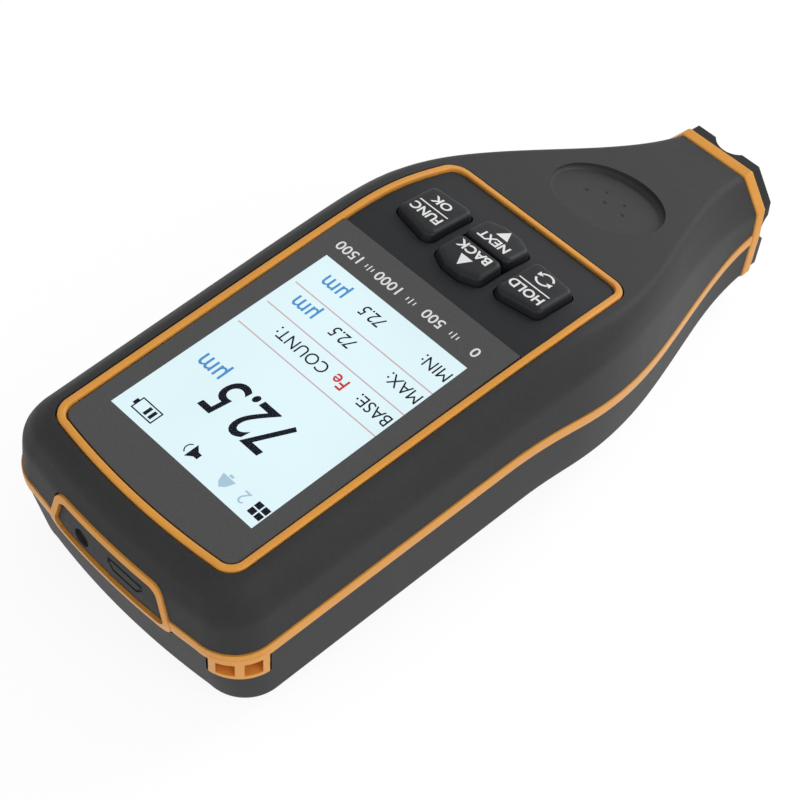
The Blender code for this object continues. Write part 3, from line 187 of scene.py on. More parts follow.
def prism(
    name: str, outline: Sequence[Point], low: float, high: float, turn: Matrix | None = None
) -> Piece:
    """Make a prism over an outline.

    Args:
        name: Name of the object.
        outline: Its corners in X and Y, in order.
        low: Where it starts along its axis.
        high: Where it ends.
        turn: Carries the prism's own axes into the panel frame, where they differ.

    Returns:
        The prism.
    """
    shape = bmesh.new()
    face = shape.faces.new([shape.verts.new((x, y, low)) for x, y in outline])
    grown = bmesh.ops.extrude_face_region(shape, geom=[face])["geom"]
    lifted = [item for item in grown if isinstance(item, bmesh.types.BMVert)]
    bmesh.ops.translate(shape, vec=(0.0, 0.0, high - low), verts=lifted)
    made = from_shape(name, shape)
    if turn is not None:
        made.data.transform(turn)
        if turn.determinant() < 0.0:
            made.data.flip_normals()
    return made


def cylinder(name: str, radius: float, length: float, place: Matrix, sides: int = 48) -> Piece:
    """Make a cylinder whose lower face is at the place's origin.

    Args:
        name: Name of the object.
        radius: Its radius.
        length: Its length along the place's Z.
        place: Where its lower face is.
        sides: Number of sides.

    Returns:
        The cylinder.
    """
    shape = bmesh.new()
    bmesh.ops.create_cone(
        shape, cap_ends=True, segments=sides, radius1=radius, radius2=radius, depth=length
    )
    lifted = place @ Matrix.Translation((0, 0, length / 2))
    bmesh.ops.transform(shape, matrix=lifted, verts=shape.verts)
    return from_shape(name, shape)


def bridge(shape: bmesh.types.BMesh, loops: Sequence[Sequence[bmesh.types.BMVert]]) -> None:
    """Make the wall between each closed loop of corners and the next.

    Args:
        shape: The shape that gets the faces.
        loops: The loops, with as many corners each.
    """
    for low, high in zip(loops, loops[1:]):
        for index in range(len(low)):
            shape.faces.new((low[index - 1], low[index], high[index], high[index - 1]))


def signed_area(points: Sequence[Point]) -> float:
    """Return twice an outline's area, which is negative where it runs clockwise."""
    return sum(a[0] * b[1] - b[0] * a[1] for a, b in zip(points, [*points[1:], points[0]]))


def offset_outline(points: Sequence[Point], distance: float, least: float = 0.3) -> list[Point]:
    """Move a closed outline outwards, or inwards when the distance is negative.

    Args:
        points: The outline's corners, in order.
        distance: How far it moves.
        least: Keeps a sharp corner's mitre from running away.

    Returns:
        The moved corners.
    """
    ahead = [*points[1:], points[0]]
    behind = [points[-1], *points[:-1]]
    facing = 1.0 if signed_area(points) > 0.0 else -1.0
    moved: list[Point] = []
    for before, corner, after in zip(behind, points, ahead):
        here = Vector(corner)
        first = (here - Vector(before)).normalized()
        second = (Vector(after) - here).normalized()
        normal = Vector((first.y, -first.x)) * facing
        mitre = (normal + Vector((second.y, -second.x)) * facing).normalized()
        moved.append(tuple(here + mitre * (distance / max(mitre.dot(normal), least))))
    return moved


def rounded_outline(corners: Sequence[Point], radius: float, steps: int) -> list[Point]:
    """Round a polygon's corners with arcs.

    Args:
        corners: The polygon's corners, in order.
        radius: Radius of each arc.
        steps: Segments in each arc.

    Returns:
        The rounded outline.
    """
    points: list[Point] = []
    for index in range(len(corners)):
        here = Vector(corners[index])
        before = (Vector(corners[index - 1]) - here).normalized()
        after = (Vector(corners[(index + 1) % len(corners)]) - here).normalized()
        half_angle = before.angle(after) / 2.0
        reach = radius / math.tan(half_angle)
        centre = here + (before + after).normalized() * radius / math.sin(half_angle)
        start = here + before * reach - centre
        sweep = start.angle_signed(here + after * reach - centre)
        for step in range(steps + 1):
            points.append(tuple(centre + Matrix.Rotation(-sweep * step / steps, 2) @ start))
    return points


# Node helpers


class Sum:
    """A shader socket that takes part in Python sums."""

    def __init__(self, paint: "Paint", socket: Socket) -> None:
        """Keep the socket and the material that it belongs to."""
        self.paint = paint
        self.socket = socket

    def _math(self, operation: str, *terms: Any) -> "Sum":
        """Add one Math node over the terms."""
        node = self.paint.node("ShaderNodeMath", dict(enumerate(terms)), operation=operation)
        return Sum(self.paint, node.outputs[0])

    def __add__(self, other: Any) -> "Sum":
        """Add."""
        return self._math("ADD", self, other)

    __radd__ = __add__

    def __sub__(self, other: Any) -> "Sum":
        """Subtract."""
        return self._math("SUBTRACT", self, other)

    def __rsub__(self, other: Any) -> "Sum":
        """Subtract from a number."""
        return self._math("SUBTRACT", other, self)

    def __mul__(self, other: Any) -> "Sum":
        """Multiply."""
        return self._math("MULTIPLY", self, other)

    __rmul__ = __mul__

    def __abs__(self) -> "Sum":
        """Drop the sign."""
        return self._math("ABSOLUTE", self)

    def above(self, limit: Any) -> "Sum":
        """Give 1 where the value is above the limit."""
        return self._math("GREATER_THAN", self, limit)

    def below(self, limit: Any) -> "Sum":
        """Give 1 where the value is below the limit."""
        return self._math("LESS_THAN", self, limit)

    def wave(self) -> "Sum":
        """Give the sine."""
        return self._math("SINE", self)

    def ease(self, low: float, high: float) -> "Sum":
        """Ease from 0 at low to 1 at high."""
        sockets = {0: self, 1: low, 2: high, 3: 0.0, 4: 1.0}
        node = self.paint.node("ShaderNodeMapRange", sockets, interpolation_type="SMOOTHSTEP")
        return Sum(self.paint, node.outputs[0])


class Graph:
    """A node tree, whose nodes are all added in one way."""

    def __init__(self, tree: bpy.types.NodeTree) -> None:
        """Keep the tree."""
        self.tree = tree

    def node(
        self, kind: str, sockets: dict[Any, Any] | None = None, **settings: Any
    ) -> bpy.types.Node:
        """Add one node.

        Args:
            kind: The node's type.
            sockets: Values, sums or sockets for its inputs, by number or name.
            settings: Its properties, set before its sockets.

        Returns:
            The node.
        """
        made = self.tree.nodes.new(kind)
        for key, value in settings.items():
            setattr(made, key, value)
        for key, value in (sockets or {}).items():
            self.feed(made.inputs[key], value)
        return made

    def feed(self, target: Socket, value: Any) -> None:
        """Link a sum or socket to an input, or set its value.

        Args:
            target: The input.
            value: What it gets.
        """
        value = value.socket if isinstance(value, Sum) else value
        if isinstance(value, Socket):
            self.tree.links.new(value, target)
        else:
            target.default_value = value


def tone(colour: Colour, share: float = 1.0) -> tuple[float, ...]:
    """Return a colour made lighter or darker by a share, with its alpha."""
    return (*(part * share for part in colour), 1.0)


class Paint(Graph):
    """One material and the nodes that it is made of."""

    def __init__(self, name: str) -> None:
        """Make the material with its Principled shader and its Object coordinates."""
        self.material = bpy.data.materials.new(name)
        self.material.use_nodes = True
        super().__init__(self.material.node_tree)
        self.shader = self.tree.nodes["Principled BSDF"]
        self.own = self.node("ShaderNodeTexCoord").outputs["Object"]

    def panel_axes(self) -> list[Sum]:
        """Give the coordinates across, along and above the panel, in the panel frame."""
        where = {"Location": FROM_ROW.to_translation(), "Rotation": FROM_ROW.to_euler()}
        turned = self.node("ShaderNodeMapping", {"Vector": self.own, **where}, vector_type="POINT")
        parts = self.node("ShaderNodeSeparateXYZ", {0: turned.outputs[0]})
        return [Sum(self, socket) for socket in parts.outputs]

    def noise(
        self, scale: float, detail: float = 2.0, rough: float = 0.5, vector: Socket | None = None
    ) -> Sum:
        """Add a noise texture.

        Args:
            scale: Features in a metre.
            detail: Octaves.
            rough: How strong the finer octaves are.
            vector: Coordinates, or None for the object's own.

        Returns:
            Its value, about 0.5.
        """
        where = self.own if vector is None else vector
        sockets = {"Vector": where, "Scale": scale, "Detail": detail, "Roughness": rough}
        return Sum(self, self.node("ShaderNodeTexNoise", sockets).outputs["Fac"])

    def blend(self, share: Any, first: Any, second: Any) -> Socket:
        """Mix two colours by a share."""
        sockets = {0: share, 6: first, 7: second}
        return self.node("ShaderNodeMix", sockets, data_type="RGBA").outputs[2]

    def vary(self, share: Any, colour: Colour, low: float, high: float = 1.0) -> Socket:
        """Mix two tones of one colour by a share."""
        return self.blend(share, tone(colour, low), tone(colour, high))

    def bump(self, height: Sum, depth: float, strength: float) -> None:
        """Let a height from 0 to 1, of a depth in metres, bend the surface's normal."""
        sockets = {"Strength": strength, "Distance": depth, "Height": height}
        self.set(Normal=Sum(self, self.node("ShaderNodeBump", sockets).outputs[0]))

    def set(self, **values: Any) -> None:
        """Set or link the shader's sockets, whose names have _ for each space."""
        for key, value in values.items():
            self.feed(self.shader.inputs[key.replace("_", " ")], value)


# Finishes


@dataclass(frozen=True)
class Moulded:
    """A moulded plastic or rubber with a spark-eroded grain."""

    name: str
    colour: Colour
    roughness: float
    grain: float = 4200.0
    grain_depth: float = 0.000012
    mottle: float = 0.12
    specular: float = 0.22

    def paint(self) -> bpy.types.Material:
        """Make the material."""
        paint = Paint(self.name)
        fine = paint.noise(self.grain, 3.0, 0.6)
        broad = paint.noise(90.0)
        wear = broad.ease(0.35, 0.7) * 0.6 + paint.noise(900.0).ease(0.4, 0.65) * 0.4
        share = wear * 0.7 + fine * 0.3
        paint.set(Base_Color=paint.vary(share, self.colour, 1.0 - self.mottle, 1.0 + self.mottle))
        paint.set(Roughness=self.roughness + (fine - 0.5) * 0.16 + (broad - 0.5) * 0.10)
        paint.set(Specular_IOR_Level=self.specular)
        paint.bump(fine, self.grain_depth * 4.0, 0.55)
        return paint.material


@dataclass(frozen=True)
class Metal:
    """A turned, drawn or ground metal with fine lines along one axis."""

    name: str
    colour: Colour
    roughness: float
    lines: float = 9000.0
    stretch: float = 0.04

    def paint(self) -> bpy.types.Material:
        """Make the material."""
        paint = Paint(self.name)
        across, along, up = paint.panel_axes()
        parts = {0: across * self.stretch, 1: along, 2: up * self.stretch}
        stretched = paint.node("ShaderNodeCombineXYZ", parts).outputs[0]
        scratch = paint.noise(self.lines, vector=stretched)
        stain = paint.noise(260.0, 3.0)
        paint.set(Base_Color=paint.vary(stain.ease(0.3, 0.75), self.colour, 0.82), Metallic=1.0)
        paint.set(Roughness=self.roughness + (scratch - 0.5) * 0.22 + (stain - 0.5) * 0.12)
        paint.bump(scratch, 0.000012, 0.4)
        return paint.material


@dataclass(frozen=True)
class Laminate:
    """The circuit board's solder mask, with copper tracks that show through."""

    name: str = "solder_mask"
    colour: Colour = (0.012, 0.115, 0.045)
    over_copper: Colour = (0.03, 0.21, 0.07)

    def paint(self) -> bpy.types.Material:
        """Make the material."""
        paint = Paint(self.name)
        across, along, _ = paint.panel_axes()
        lanes = (across * 2600.0 + paint.noise(140.0) * 9.0).wave().above(0.72)
        cross = (along * 2100.0 + paint.noise(120.0) * 8.0).wave().above(0.84)
        track = (lanes + cross).ease(0.0, 1.0)
        paint.set(Base_Color=paint.blend(track * 0.6, tone(self.colour), tone(self.over_copper)))
        paint.set(Roughness=0.34 + paint.noise(1500.0) * 0.12)
        paint.bump(track, 0.00003, 0.6)
        return paint.material


@dataclass(frozen=True)
class Window:
    """The gloss window: printed dark grey behind its border and clear over the lit panel."""

    name: str
    colour: Colour
    low: Point
    high: Point
    print_depth: float = -0.0008
    room_behind: float = 0.0015
    clear: Colour = (0.012, 0.013, 0.015)
    clear_share: float = 0.95

    def paint(self) -> bpy.types.Material:
        """Make the material."""
        paint = Paint(self.name)
        across, along, up = paint.panel_axes()
        wider = up.below(self.print_depth) * self.room_behind
        sides = [
            abs(axis - (low + high) / 2.0).below(wider + (high - low) / 2.0)
            for axis, low, high in zip((across, along), self.low, self.high)
        ]
        inside = sides[0] * sides[1]
        broad = paint.noise(60.0)
        printed = paint.vary(paint.noise(5200.0).ease(0.35, 0.7), self.colour, 0.86, 1.16)
        paint.set(Base_Color=paint.blend(inside, printed, tone(self.clear)))
        paint.set(Alpha=1.0 - inside * self.clear_share, Roughness=0.16 + broad * 0.12)
        paint.set(IOR=1.49, Specular_IOR_Level=0.42)
        paint.bump(broad, 0.00004, 0.25)
        return paint.material


@dataclass(frozen=True)
class Lit:
    """A lit surface of the display, with the faint unevenness of its backlight."""

    name: str
    colour: Colour
    strength: float = 1.0
    unlit: Colour = (0.006, 0.006, 0.006)

    def paint(self) -> bpy.types.Material:
        """Make the material."""
        paint = Paint(self.name)
        broad = paint.noise(45.0, 1.0)
        paint.set(Emission_Color=paint.vary(broad.ease(0.3, 0.7), self.colour, 0.97))
        paint.set(Base_Color=tone(self.unlit), Roughness=0.35 + broad * 0.1)
        paint.set(Emission_Strength=self.strength, Specular_IOR_Level=0.05)
        return paint.material


@dataclass(frozen=True)
class Ink:
    """A printed ink, with a slightly uneven lay."""

    name: str
    colour: Colour
    roughness: float

    def paint(self) -> bpy.types.Material:
        """Make the material."""
        paint = Paint(self.name)
        lay = paint.noise(2600.0)
        paint.set(Base_Color=paint.vary(lay.ease(0.3, 0.8), self.colour, 0.93))
        paint.set(Roughness=self.roughness + (lay - 0.5) * 0.15)
        return paint.material


@dataclass(frozen=True)
class Foil:
    """The battery pouch's laminated foil, with soft wrinkles whose hollows are painted darker as
    shade.
    """

    name: str = "pouch_foil"
    colour: Colour = (0.55, 0.56, 0.58)

    def paint(self) -> bpy.types.Material:
        """Make the material."""
        paint = Paint(self.name)
        folds = paint.noise(160.0, 4.0)
        # Painted shade: the foil's colour darkens in the wrinkles' hollows, where the bump is low.
        paint.set(Base_Color=paint.vary(folds, self.colour, 0.85), Metallic=0.8)
        paint.set(Roughness=0.28 + folds * 0.2)
        paint.bump(folds, 0.0004, 0.4)
        return paint.material


@dataclass(frozen=True)
class Sponge:
    """Open-celled foam, its pores painted darker as shade."""

    name: str = "cell_foam"
    colour: Colour = (0.022, 0.022, 0.023)

    def paint(self) -> bpy.types.Material:
        """Make the material."""
        paint = Paint(self.name)
        cells = paint.node("ShaderNodeTexVoronoi", {"Vector": paint.own, "Scale": 2600.0})
        pores = Sum(paint, cells.outputs["Distance"])
        # Painted shade: the colour darkens towards each pore's middle and lightens on the cell
        # walls.
        paint.set(Base_Color=paint.vary(pores.ease(0.1, 0.6), self.colour, 0.5, 1.6))
        paint.set(Roughness=0.92 + (pores - 0.5) * 0.05)
        paint.bump(pores, 0.0001, 0.8)
        return paint.material


@cache
def painted(look: Any) -> bpy.types.Material:
    """Return a look's material, which is made once."""
    return look.paint()


WHITE_PRINT = Ink("white_print", (0.96, 0.96, 0.96), 0.45)


class Finish(Enum):
    """Every finish on the gauge: the record's slot that it stands for, and its look."""

    SKIN = "black_elastomer", Moulded(
        "black_skin", (0.0270, 0.0273, 0.0280), 0.58, 3000.0, 0.000022, 0.13
    )
    ORANGE = "orange_abs", Moulded("orange_shell", (0.84, 0.37, 0.066), 0.38, 4200.0, 8e-6, 0.05)
    CAP = "black_abs", Moulded("black_cap", (0.019, 0.0195, 0.0205), 0.46, 2600.0, 0.00002)
    KEY = "key_rubber", Moulded(
        "key_rubber_satin", (0.0115, 0.0125, 0.015), 0.42, 4200.0, 0.00001, 0.08
    )
    MAT = "key_rubber", Moulded("mat_rubber", (0.0125, 0.0135, 0.016), 0.52, mottle=0.08)
    SWITCH = "switch_body", Moulded("switch_plastic", (0.02, 0.02, 0.021), 0.42)
    LENS = "lens_acrylic", Window(
        "printed_window", (0.062, 0.062, 0.064), (-0.01745, 0.0166), (0.01745, 0.0656)
    )
    PANEL = "display_glass", Lit("lit_panel", (0.775, 0.958, 0.995), 1.07)
    BLACK_INK = "display_glass", Lit("display_black", (0.003, 0.005, 0.012))
    BLUE_INK = "display_glass", Lit("display_blue", (0.09, 0.33, 0.72), 0.95)
    RED_INK = "display_glass", Lit("display_red", (0.72, 0.05, 0.06), 0.9)
    PALE_INK = "display_glass", Lit("display_pale", (0.44, 0.63, 0.77))
    LINE_INK = "display_glass", Lit("display_line", (0.66, 0.47, 0.50))
    WINDOW_INK = "lens_acrylic", WHITE_PRINT
    KEY_INK = "key_rubber", WHITE_PRINT
    STEEL = "hard_steel", Metal("ground_steel", (0.60, 0.60, 0.62), 0.24)
    TIN = "tinned_steel", Metal("tinned_sheet", (0.62, 0.63, 0.64), 0.34)
    BRASS = "probe_brass", Metal("turned_brass", (0.78, 0.57, 0.24), 0.26)
    COPPER = "coil_copper", Metal("enamelled_wire", (0.72, 0.32, 0.14), 0.30)
    BOARD = "board_laminate", Laminate()
    FOIL = "battery_foil", Foil()
    FOAM = "foam", Sponge()

    def __init__(self, slot: str, look: Any) -> None:
        """Keep the slot and the look."""
        self.slot = slot
        self.look = look


def place_piece(item: Piece, finish: Finish, body: str, *nodes: str) -> None:
    """Dress a piece that is in the row frame and let it ride.

    Args:
        item: The piece.
        finish: Its finish.
        body: The body that it rides on.
        nodes: The nodes that it stands for.
    """
    item.data.materials.clear()
    item.data.materials.append(painted(finish.look))
    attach(item, body)
    if nodes:
        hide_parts(*nodes)
    LOG.info("%s rides on %s, %d faces", item.name, body, len(item.data.polygons))


def hand_in(item: Piece, finish: Finish, body: str, *nodes: str) -> None:
    """Carry a piece from the panel frame into the row frame and place it."""
    item.data.transform(INTO_ROW)
    place_piece(item, finish, body, *nodes)


# The gauge's form


class Crease(NamedTuple):
    """One crease: its half width and depth along Y, and its setback, bulge and radius."""

    width: Callable[[float], float]
    depth: Callable[[float], float]
    setback: float
    bulge: float
    radius: float


class Station(NamedTuple):
    """One cut through the body's wall: its crease points and the way to the inside."""

    points: list[Vector]
    inward: Vector


@dataclass
class BodyForm:
    """The drooped body that skins and shells share, as creases swept from foot to nose."""

    half_width_body: float = 0.0295
    body_taper: float = 0.0175
    taper_start: float = 0.0166
    taper_end: float = 0.080
    crown_half: float = 0.0242
    crown_depth: float = 0.0003
    bevel_half: float = 0.0268
    bevel_depth: float = 0.0026
    side_half: float = 0.0286
    side_depth: float = 0.0059
    foot_side_depth: float = 0.0080
    parting: float = 0.0152
    rear_half: float = 0.0284
    rear_depth: float = 0.0318
    back_half: float = 0.0240
    back_depth: float = 0.0358
    foot_bulge: float = 0.0014
    corner_radius: float = 0.0085
    setbacks: tuple[float, ...] = (0.0044, 0.0021, 0.0005, 0.0, 0.0030, 0.0090)
    corner_cuts: tuple[float, ...] = (0.0030, 0.0015, 0.0005, 0.0, 0.0005, 0.0030)
    neck_start: float = 0.083
    crown_neck_start: float = 0.093
    neck_end: float = 0.1570
    cap_reach: float = 0.0022
    loft_end: float = 0.1690
    nose_half: float = 0.0134
    nose_crown_half: float = 0.0082
    nose_chamfer: float = 0.0073
    nose_parting: float = 0.0375
    nose_rear_depth: float = 0.0490
    nose_back_half: float = 0.0098
    nose_back_depth: float = 0.0525
    ramp_start: float = 0.0879
    ramp_blend: float = 0.0095
    ramp_slope: float = 0.335
    parting_drop: Point = (0.064, 0.1446)
    rear_drop: Point = (0.071, 0.1372)
    rest_margin: float = 0.000045
    rest_span: Point = (0.083, 0.1272)
    fit: float = 0.0003
    foot_steps: int = 9
    corner_steps: int = 16
    side_steps: int = 66
    side_start: float = 0.0250
    foot_share: float = 3.0 / 7.0
    crease_round: float = 0.00132
    round_limit: float = 0.45
    round_steps: int = 4
    rim_reach: float = 0.004
    space_steps: int = 90
    space_start: float = -0.02
    space_length: float = 0.21
    space_height: float = 0.09
    space_half: float = 0.05

    def ramp(self, y: float) -> float:
        """Return the panel surface's depth at a distance from the foot."""
        along = y - self.ramp_start
        return self.ramp_slope * (along + math.hypot(along, self.ramp_blend)) / 2.0

    def ramp_tilt(self, y: float) -> float:
        """Return the panel surface's slope there, in radians."""
        along = y - self.ramp_start
        return math.atan(self.ramp_slope * (1.0 + along / math.hypot(along, self.ramp_blend)) / 2.0)

    def parting_depth(self, y: float) -> float:
        """Return the depth of the parting band's centre line."""
        drop = self.nose_parting - self.parting
        return self.parting + drop * smooth_step(y, *self.parting_drop)

    def _half(self, y: float, body: float, nose: float, start: float) -> float:
        """Return one crease's half width, from the body's to the nose's."""
        share = smooth_step(y, start, self.neck_end + self.cap_reach)
        widening = self.body_taper * (min(y, self.taper_end) - self.taper_start)
        return (body + widening) * (1.0 - share) + nose * share

    def _drop(self, y: float, body: float, nose: float) -> float:
        """Return a depth of the lower half, which drops to the nose's underside."""
        return body + (nose - body) * smooth_step(y, *self.rear_drop)

    def _back(self, y: float) -> float:
        """Return the back's depth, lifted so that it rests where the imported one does."""
        lift = self.rest_margin * smooth_step(y, *self.rest_span)
        return self._drop(y, self.back_depth, self.nose_back_depth) - lift

    def _side_depth(self, y: float) -> float:
        """Return the depth of the crease at the top of the side wall."""
        near_foot = 1.0 - smooth_step(y, 0.0, self.corner_radius * 2.0)
        foot = (self.foot_side_depth - self.side_depth) * near_foot
        near_nose = smooth_step(y, self.neck_start, self.neck_end)
        nose = (self.nose_chamfer - self.side_depth) * near_nose
        return self.ramp(y) + self.side_depth + foot + nose

    def _bevel_depth(self, y: float) -> float:
        """Return the depth of the crease in the middle of the shoulder."""
        share = smooth_step(y, self.neck_start, self.neck_end)
        drop = (self.nose_chamfer / 2.0 - self.bevel_depth) * share
        return self.ramp(y) + self.bevel_depth + drop

    def creases(self) -> list[Crease]:
        """List the creases from the crown down to the back."""
        chamfer = (self.nose_crown_half + self.nose_half) / 2.0 - self.fit
        side = self.nose_half - self.fit
        neck = self.neck_start
        widths = (
            (self.crown_half, self.nose_crown_half, self.crown_neck_start),
            (self.bevel_half, chamfer, (neck + self.crown_neck_start) / 2.0),
            (self.side_half, side, neck),
            (self.half_width_body, self.nose_half, neck),
            (self.rear_half, side, neck),
            (self.back_half, self.nose_back_half, neck),
        )
        depths = (
            lambda y: self.ramp(y) + self.crown_depth,
            self._bevel_depth,
            self._side_depth,
            self.parting_depth,
            lambda y: self._drop(y, self.rear_depth, self.nose_rear_depth),
            self._back,
        )
        bulges = (*[self.foot_bulge] * 5, 0.0)
        radii = [self.corner_radius - cut for cut in self.corner_cuts]
        return [
            Crease(lambda y, row=row: self._half(y, *row), *rest)
            for row, *rest in zip(widths, depths, self.setbacks, bulges, radii)
        ]

    def stations(self) -> list[Station]:
        """Cut the right half of the wall at every step from the foot's middle to the nose."""
        creases = self.creases()
        made: list[Station] = []
        for step in range(self.foot_steps + self.corner_steps + 1):
            on_foot = step < self.foot_steps
            share = step / self.foot_steps
            turn, passed = 0.0, share * self.foot_share
            if not on_foot:
                share = (step - self.foot_steps) / self.corner_steps
                turn = math.pi / 2.0 * share
                passed = self.foot_share + (1.0 - self.foot_share) * share
            blend = smooth_step(passed, 0.0, 1.0)
            points: list[Vector] = []
            for crease in creases:
                foot = crease.setback + crease.bulge
                straight = crease.width(foot + crease.radius) - crease.radius
                if on_foot:
                    x = straight * share
                    y = crease.setback + crease.bulge * share * share
                else:
                    x = straight + crease.radius * math.sin(turn)
                    y = foot + crease.radius * (1.0 - math.cos(turn))
                level = crease.depth(foot) * (1.0 - blend) + crease.depth(self.side_start) * blend
                points.append(Vector((x, y, -level)))
            made.append(Station(points, Vector((-math.sin(turn), math.cos(turn), 0.0))))
        for step in range(self.side_steps + 1):
            y = self.side_start + (self.loft_end - self.side_start) * step / self.side_steps
            points = [Vector((crease.width(y), y, -crease.depth(y))) for crease in creases]
            made.append(Station(points, Vector((-1.0, 0.0, 0.0))))
        return made

    def _rounded(self, station: Station) -> list[Vector]:
        """Round a cut's creases.

        Args:
            station: The cut.

        Returns:
            Its points, with each crease as a short curve.
        """
        corners = station.points
        ends = station.inward * self.rim_reach
        line = [corners[0] + ends, *corners, corners[-1] + ends]
        made: list[Vector] = []
        for before, here, after in zip(line, line[1:], line[2:]):
            near, far = (
                here + way.normalized() * min(self.crease_round, way.length * self.round_limit)
                for way in (before - here, after - here)
            )
            for step in range(self.round_steps + 1):
                t = step / self.round_steps
                made.append(near * (1 - t) ** 2 + here * 2 * t * (1 - t) + far * t * t)
        return made

    def loft(self, name: str, inset: float = 0.0) -> Piece:
        """Loft the whole body, then draw its surface in by the inset.

        Args:
            name: Name of the object.
            inset: How far the surface is drawn in.

        Returns:
            The closed solid.
        """
        shape = bmesh.new()
        rows = [self._rounded(cut) for cut in self.stations()]
        grid = [[shape.verts.new(point) for point in row] for row in rows]
        for first, second in zip(grid, grid[1:]):
            for index in range(len(first) - 1):
                wall = (first[index], second[index], second[index + 1], first[index + 1])
                shape.faces.new(wall)
        ends: list[bmesh.types.BMVert] = []
        side_from = self.foot_steps + self.corner_steps + 1
        for rim in (0, -1):
            side = [row[rim] for row in grid[side_from:]]
            middle = [shape.verts.new((0.0, corner.co.y, corner.co.z)) for corner in side]
            for index in range(len(middle) - 1):
                shape.faces.new((middle[index], middle[index + 1], side[index + 1], side[index]))
            shape.faces.new([row[rim] for row in grid[:side_from + 1]] + [middle[0]])
            ends.append(middle[-1])
        shape.faces.new([ends[0], *grid[-1], ends[1]])
        whole = list(shape.verts) + list(shape.edges) + list(shape.faces)
        copied = bmesh.ops.duplicate(shape, geom=whole)["geom"]
        mirrored = [item for item in copied if isinstance(item, bmesh.types.BMVert)]
        bmesh.ops.scale(shape, vec=(-1.0, 1.0, 1.0), verts=mirrored)
        bmesh.ops.remove_doubles(shape, verts=shape.verts, dist=MERGE)
        bmesh.ops.recalc_face_normals(shape, faces=shape.faces)
        if inset:
            shape.normal_update()
            last = [vert for vert in shape.verts if abs(vert.co.y - self.loft_end) < 10 * MERGE]
            moves = [vert.normal * inset * vert.calc_shell_factor() for vert in shape.verts]
            for vert, move in zip(shape.verts, moves):
                vert.co -= move
            for vert in last:
                vert.co.y = self.loft_end
        return from_shape(name, shape)

    def half_space(self, name: str, offset: float, above: bool) -> Piece:
        """Make the solid on one side of the parting surface.

        Args:
            name: Name of the object.
            offset: How far below the surface it ends.
            above: Whether it is the upper side.

        Returns:
            The solid.
        """
        steps = range(self.space_steps + 1)
        along = [self.space_start + self.space_length * s / self.space_steps for s in steps]
        edge = [(y, -(self.parting_depth(y) + offset)) for y in along]
        limit = self.space_height if above else -self.space_height
        outline = edge + [(along[-1], limit), (along[0], limit)]
        return prism(name, outline, -self.space_half, self.space_half, SIDEWAYS)

    def neck_stop(self) -> Piece:
        """Make the block that ends skins and shells at the collar."""
        start, end, half = self.neck_end - self.fit, 0.19, 0.03
        outline = [(-half, start), (half, start), (half, end), (-half, end)]
        return prism("neck_stop", outline, -0.07, 0.02)


FORM = BodyForm()


def panel_frame(record: dict[str, Any], mount_y: float = 0.040) -> Matrix:
    """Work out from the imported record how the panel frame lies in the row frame.

    Args:
        record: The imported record.
        mount_y: Where its back_face mount lies on the back, along Y.

    Returns:
        The matrix that carries the panel frame into the row frame.
    """
    mount = next(item for item in record["mounts"] if item["name"] == "back_face")
    outward = Vector(mount["axis"])
    turn = Matrix.Rotation(math.atan2(outward.y, -outward.z), 4, "X")
    mark = turn @ Vector((0.0, mount_y, -FORM.back_depth))
    return Matrix.Translation(Vector(mount["pos_m"]) - mark) @ turn


INTO_ROW = panel_frame(frame["record"])
FROM_ROW = INTO_ROW.inverted()


# Sub-assemblies


class NodeTree(Graph):
    """One Geometry Nodes tree with named sizes."""

    def __init__(self, name: str, sizes: dict[str, float]) -> None:
        """Make the tree with its inputs.

        Args:
            name: Name of the tree.
            sizes: Its named sizes and their values.
        """
        super().__init__(bpy.data.node_groups.new(name, "GeometryNodeTree"))
        face = self.tree.interface
        for way in ("INPUT", "OUTPUT"):
            face.new_socket("Geometry", in_out=way, socket_type="NodeSocketGeometry")
        self.values: dict[str, float] = {}
        for key, value in sizes.items():
            kind = "NodeSocketInt" if isinstance(value, int) else "NodeSocketFloat"
            made = face.new_socket(key, in_out="INPUT", socket_type=kind)
            self.values[made.identifier] = value
        self.inputs = self.node("NodeGroupInput").outputs

    def on_points(self, points: Socket, item: Socket) -> Socket:
        """Set one item on every point."""
        sockets = {"Points": points, "Instance": item}
        return self.node("GeometryNodeInstanceOnPoints", sockets).outputs[0]

    def apply(self, item: Piece, geometry: Socket, finish: Finish) -> Piece:
        """End the tree and run it on an object.

        Args:
            item: The object, which becomes plain mesh.
            geometry: The tree's last geometry.
            finish: The finish that it sets.

        Returns:
            The same object.
        """
        solid = self.node("GeometryNodeRealizeInstances", {0: geometry}).outputs[0]
        sockets = {"Geometry": solid, "Material": painted(finish.look)}
        dressed = self.node("GeometryNodeSetMaterial", sockets).outputs[0]
        self.node("NodeGroupOutput", {0: dressed})
        step = item.modifiers.new("Nodes", "NODES")
        step.node_group = self.tree
        for identifier, value in self.values.items():
            step[identifier] = value
        return settle(item)


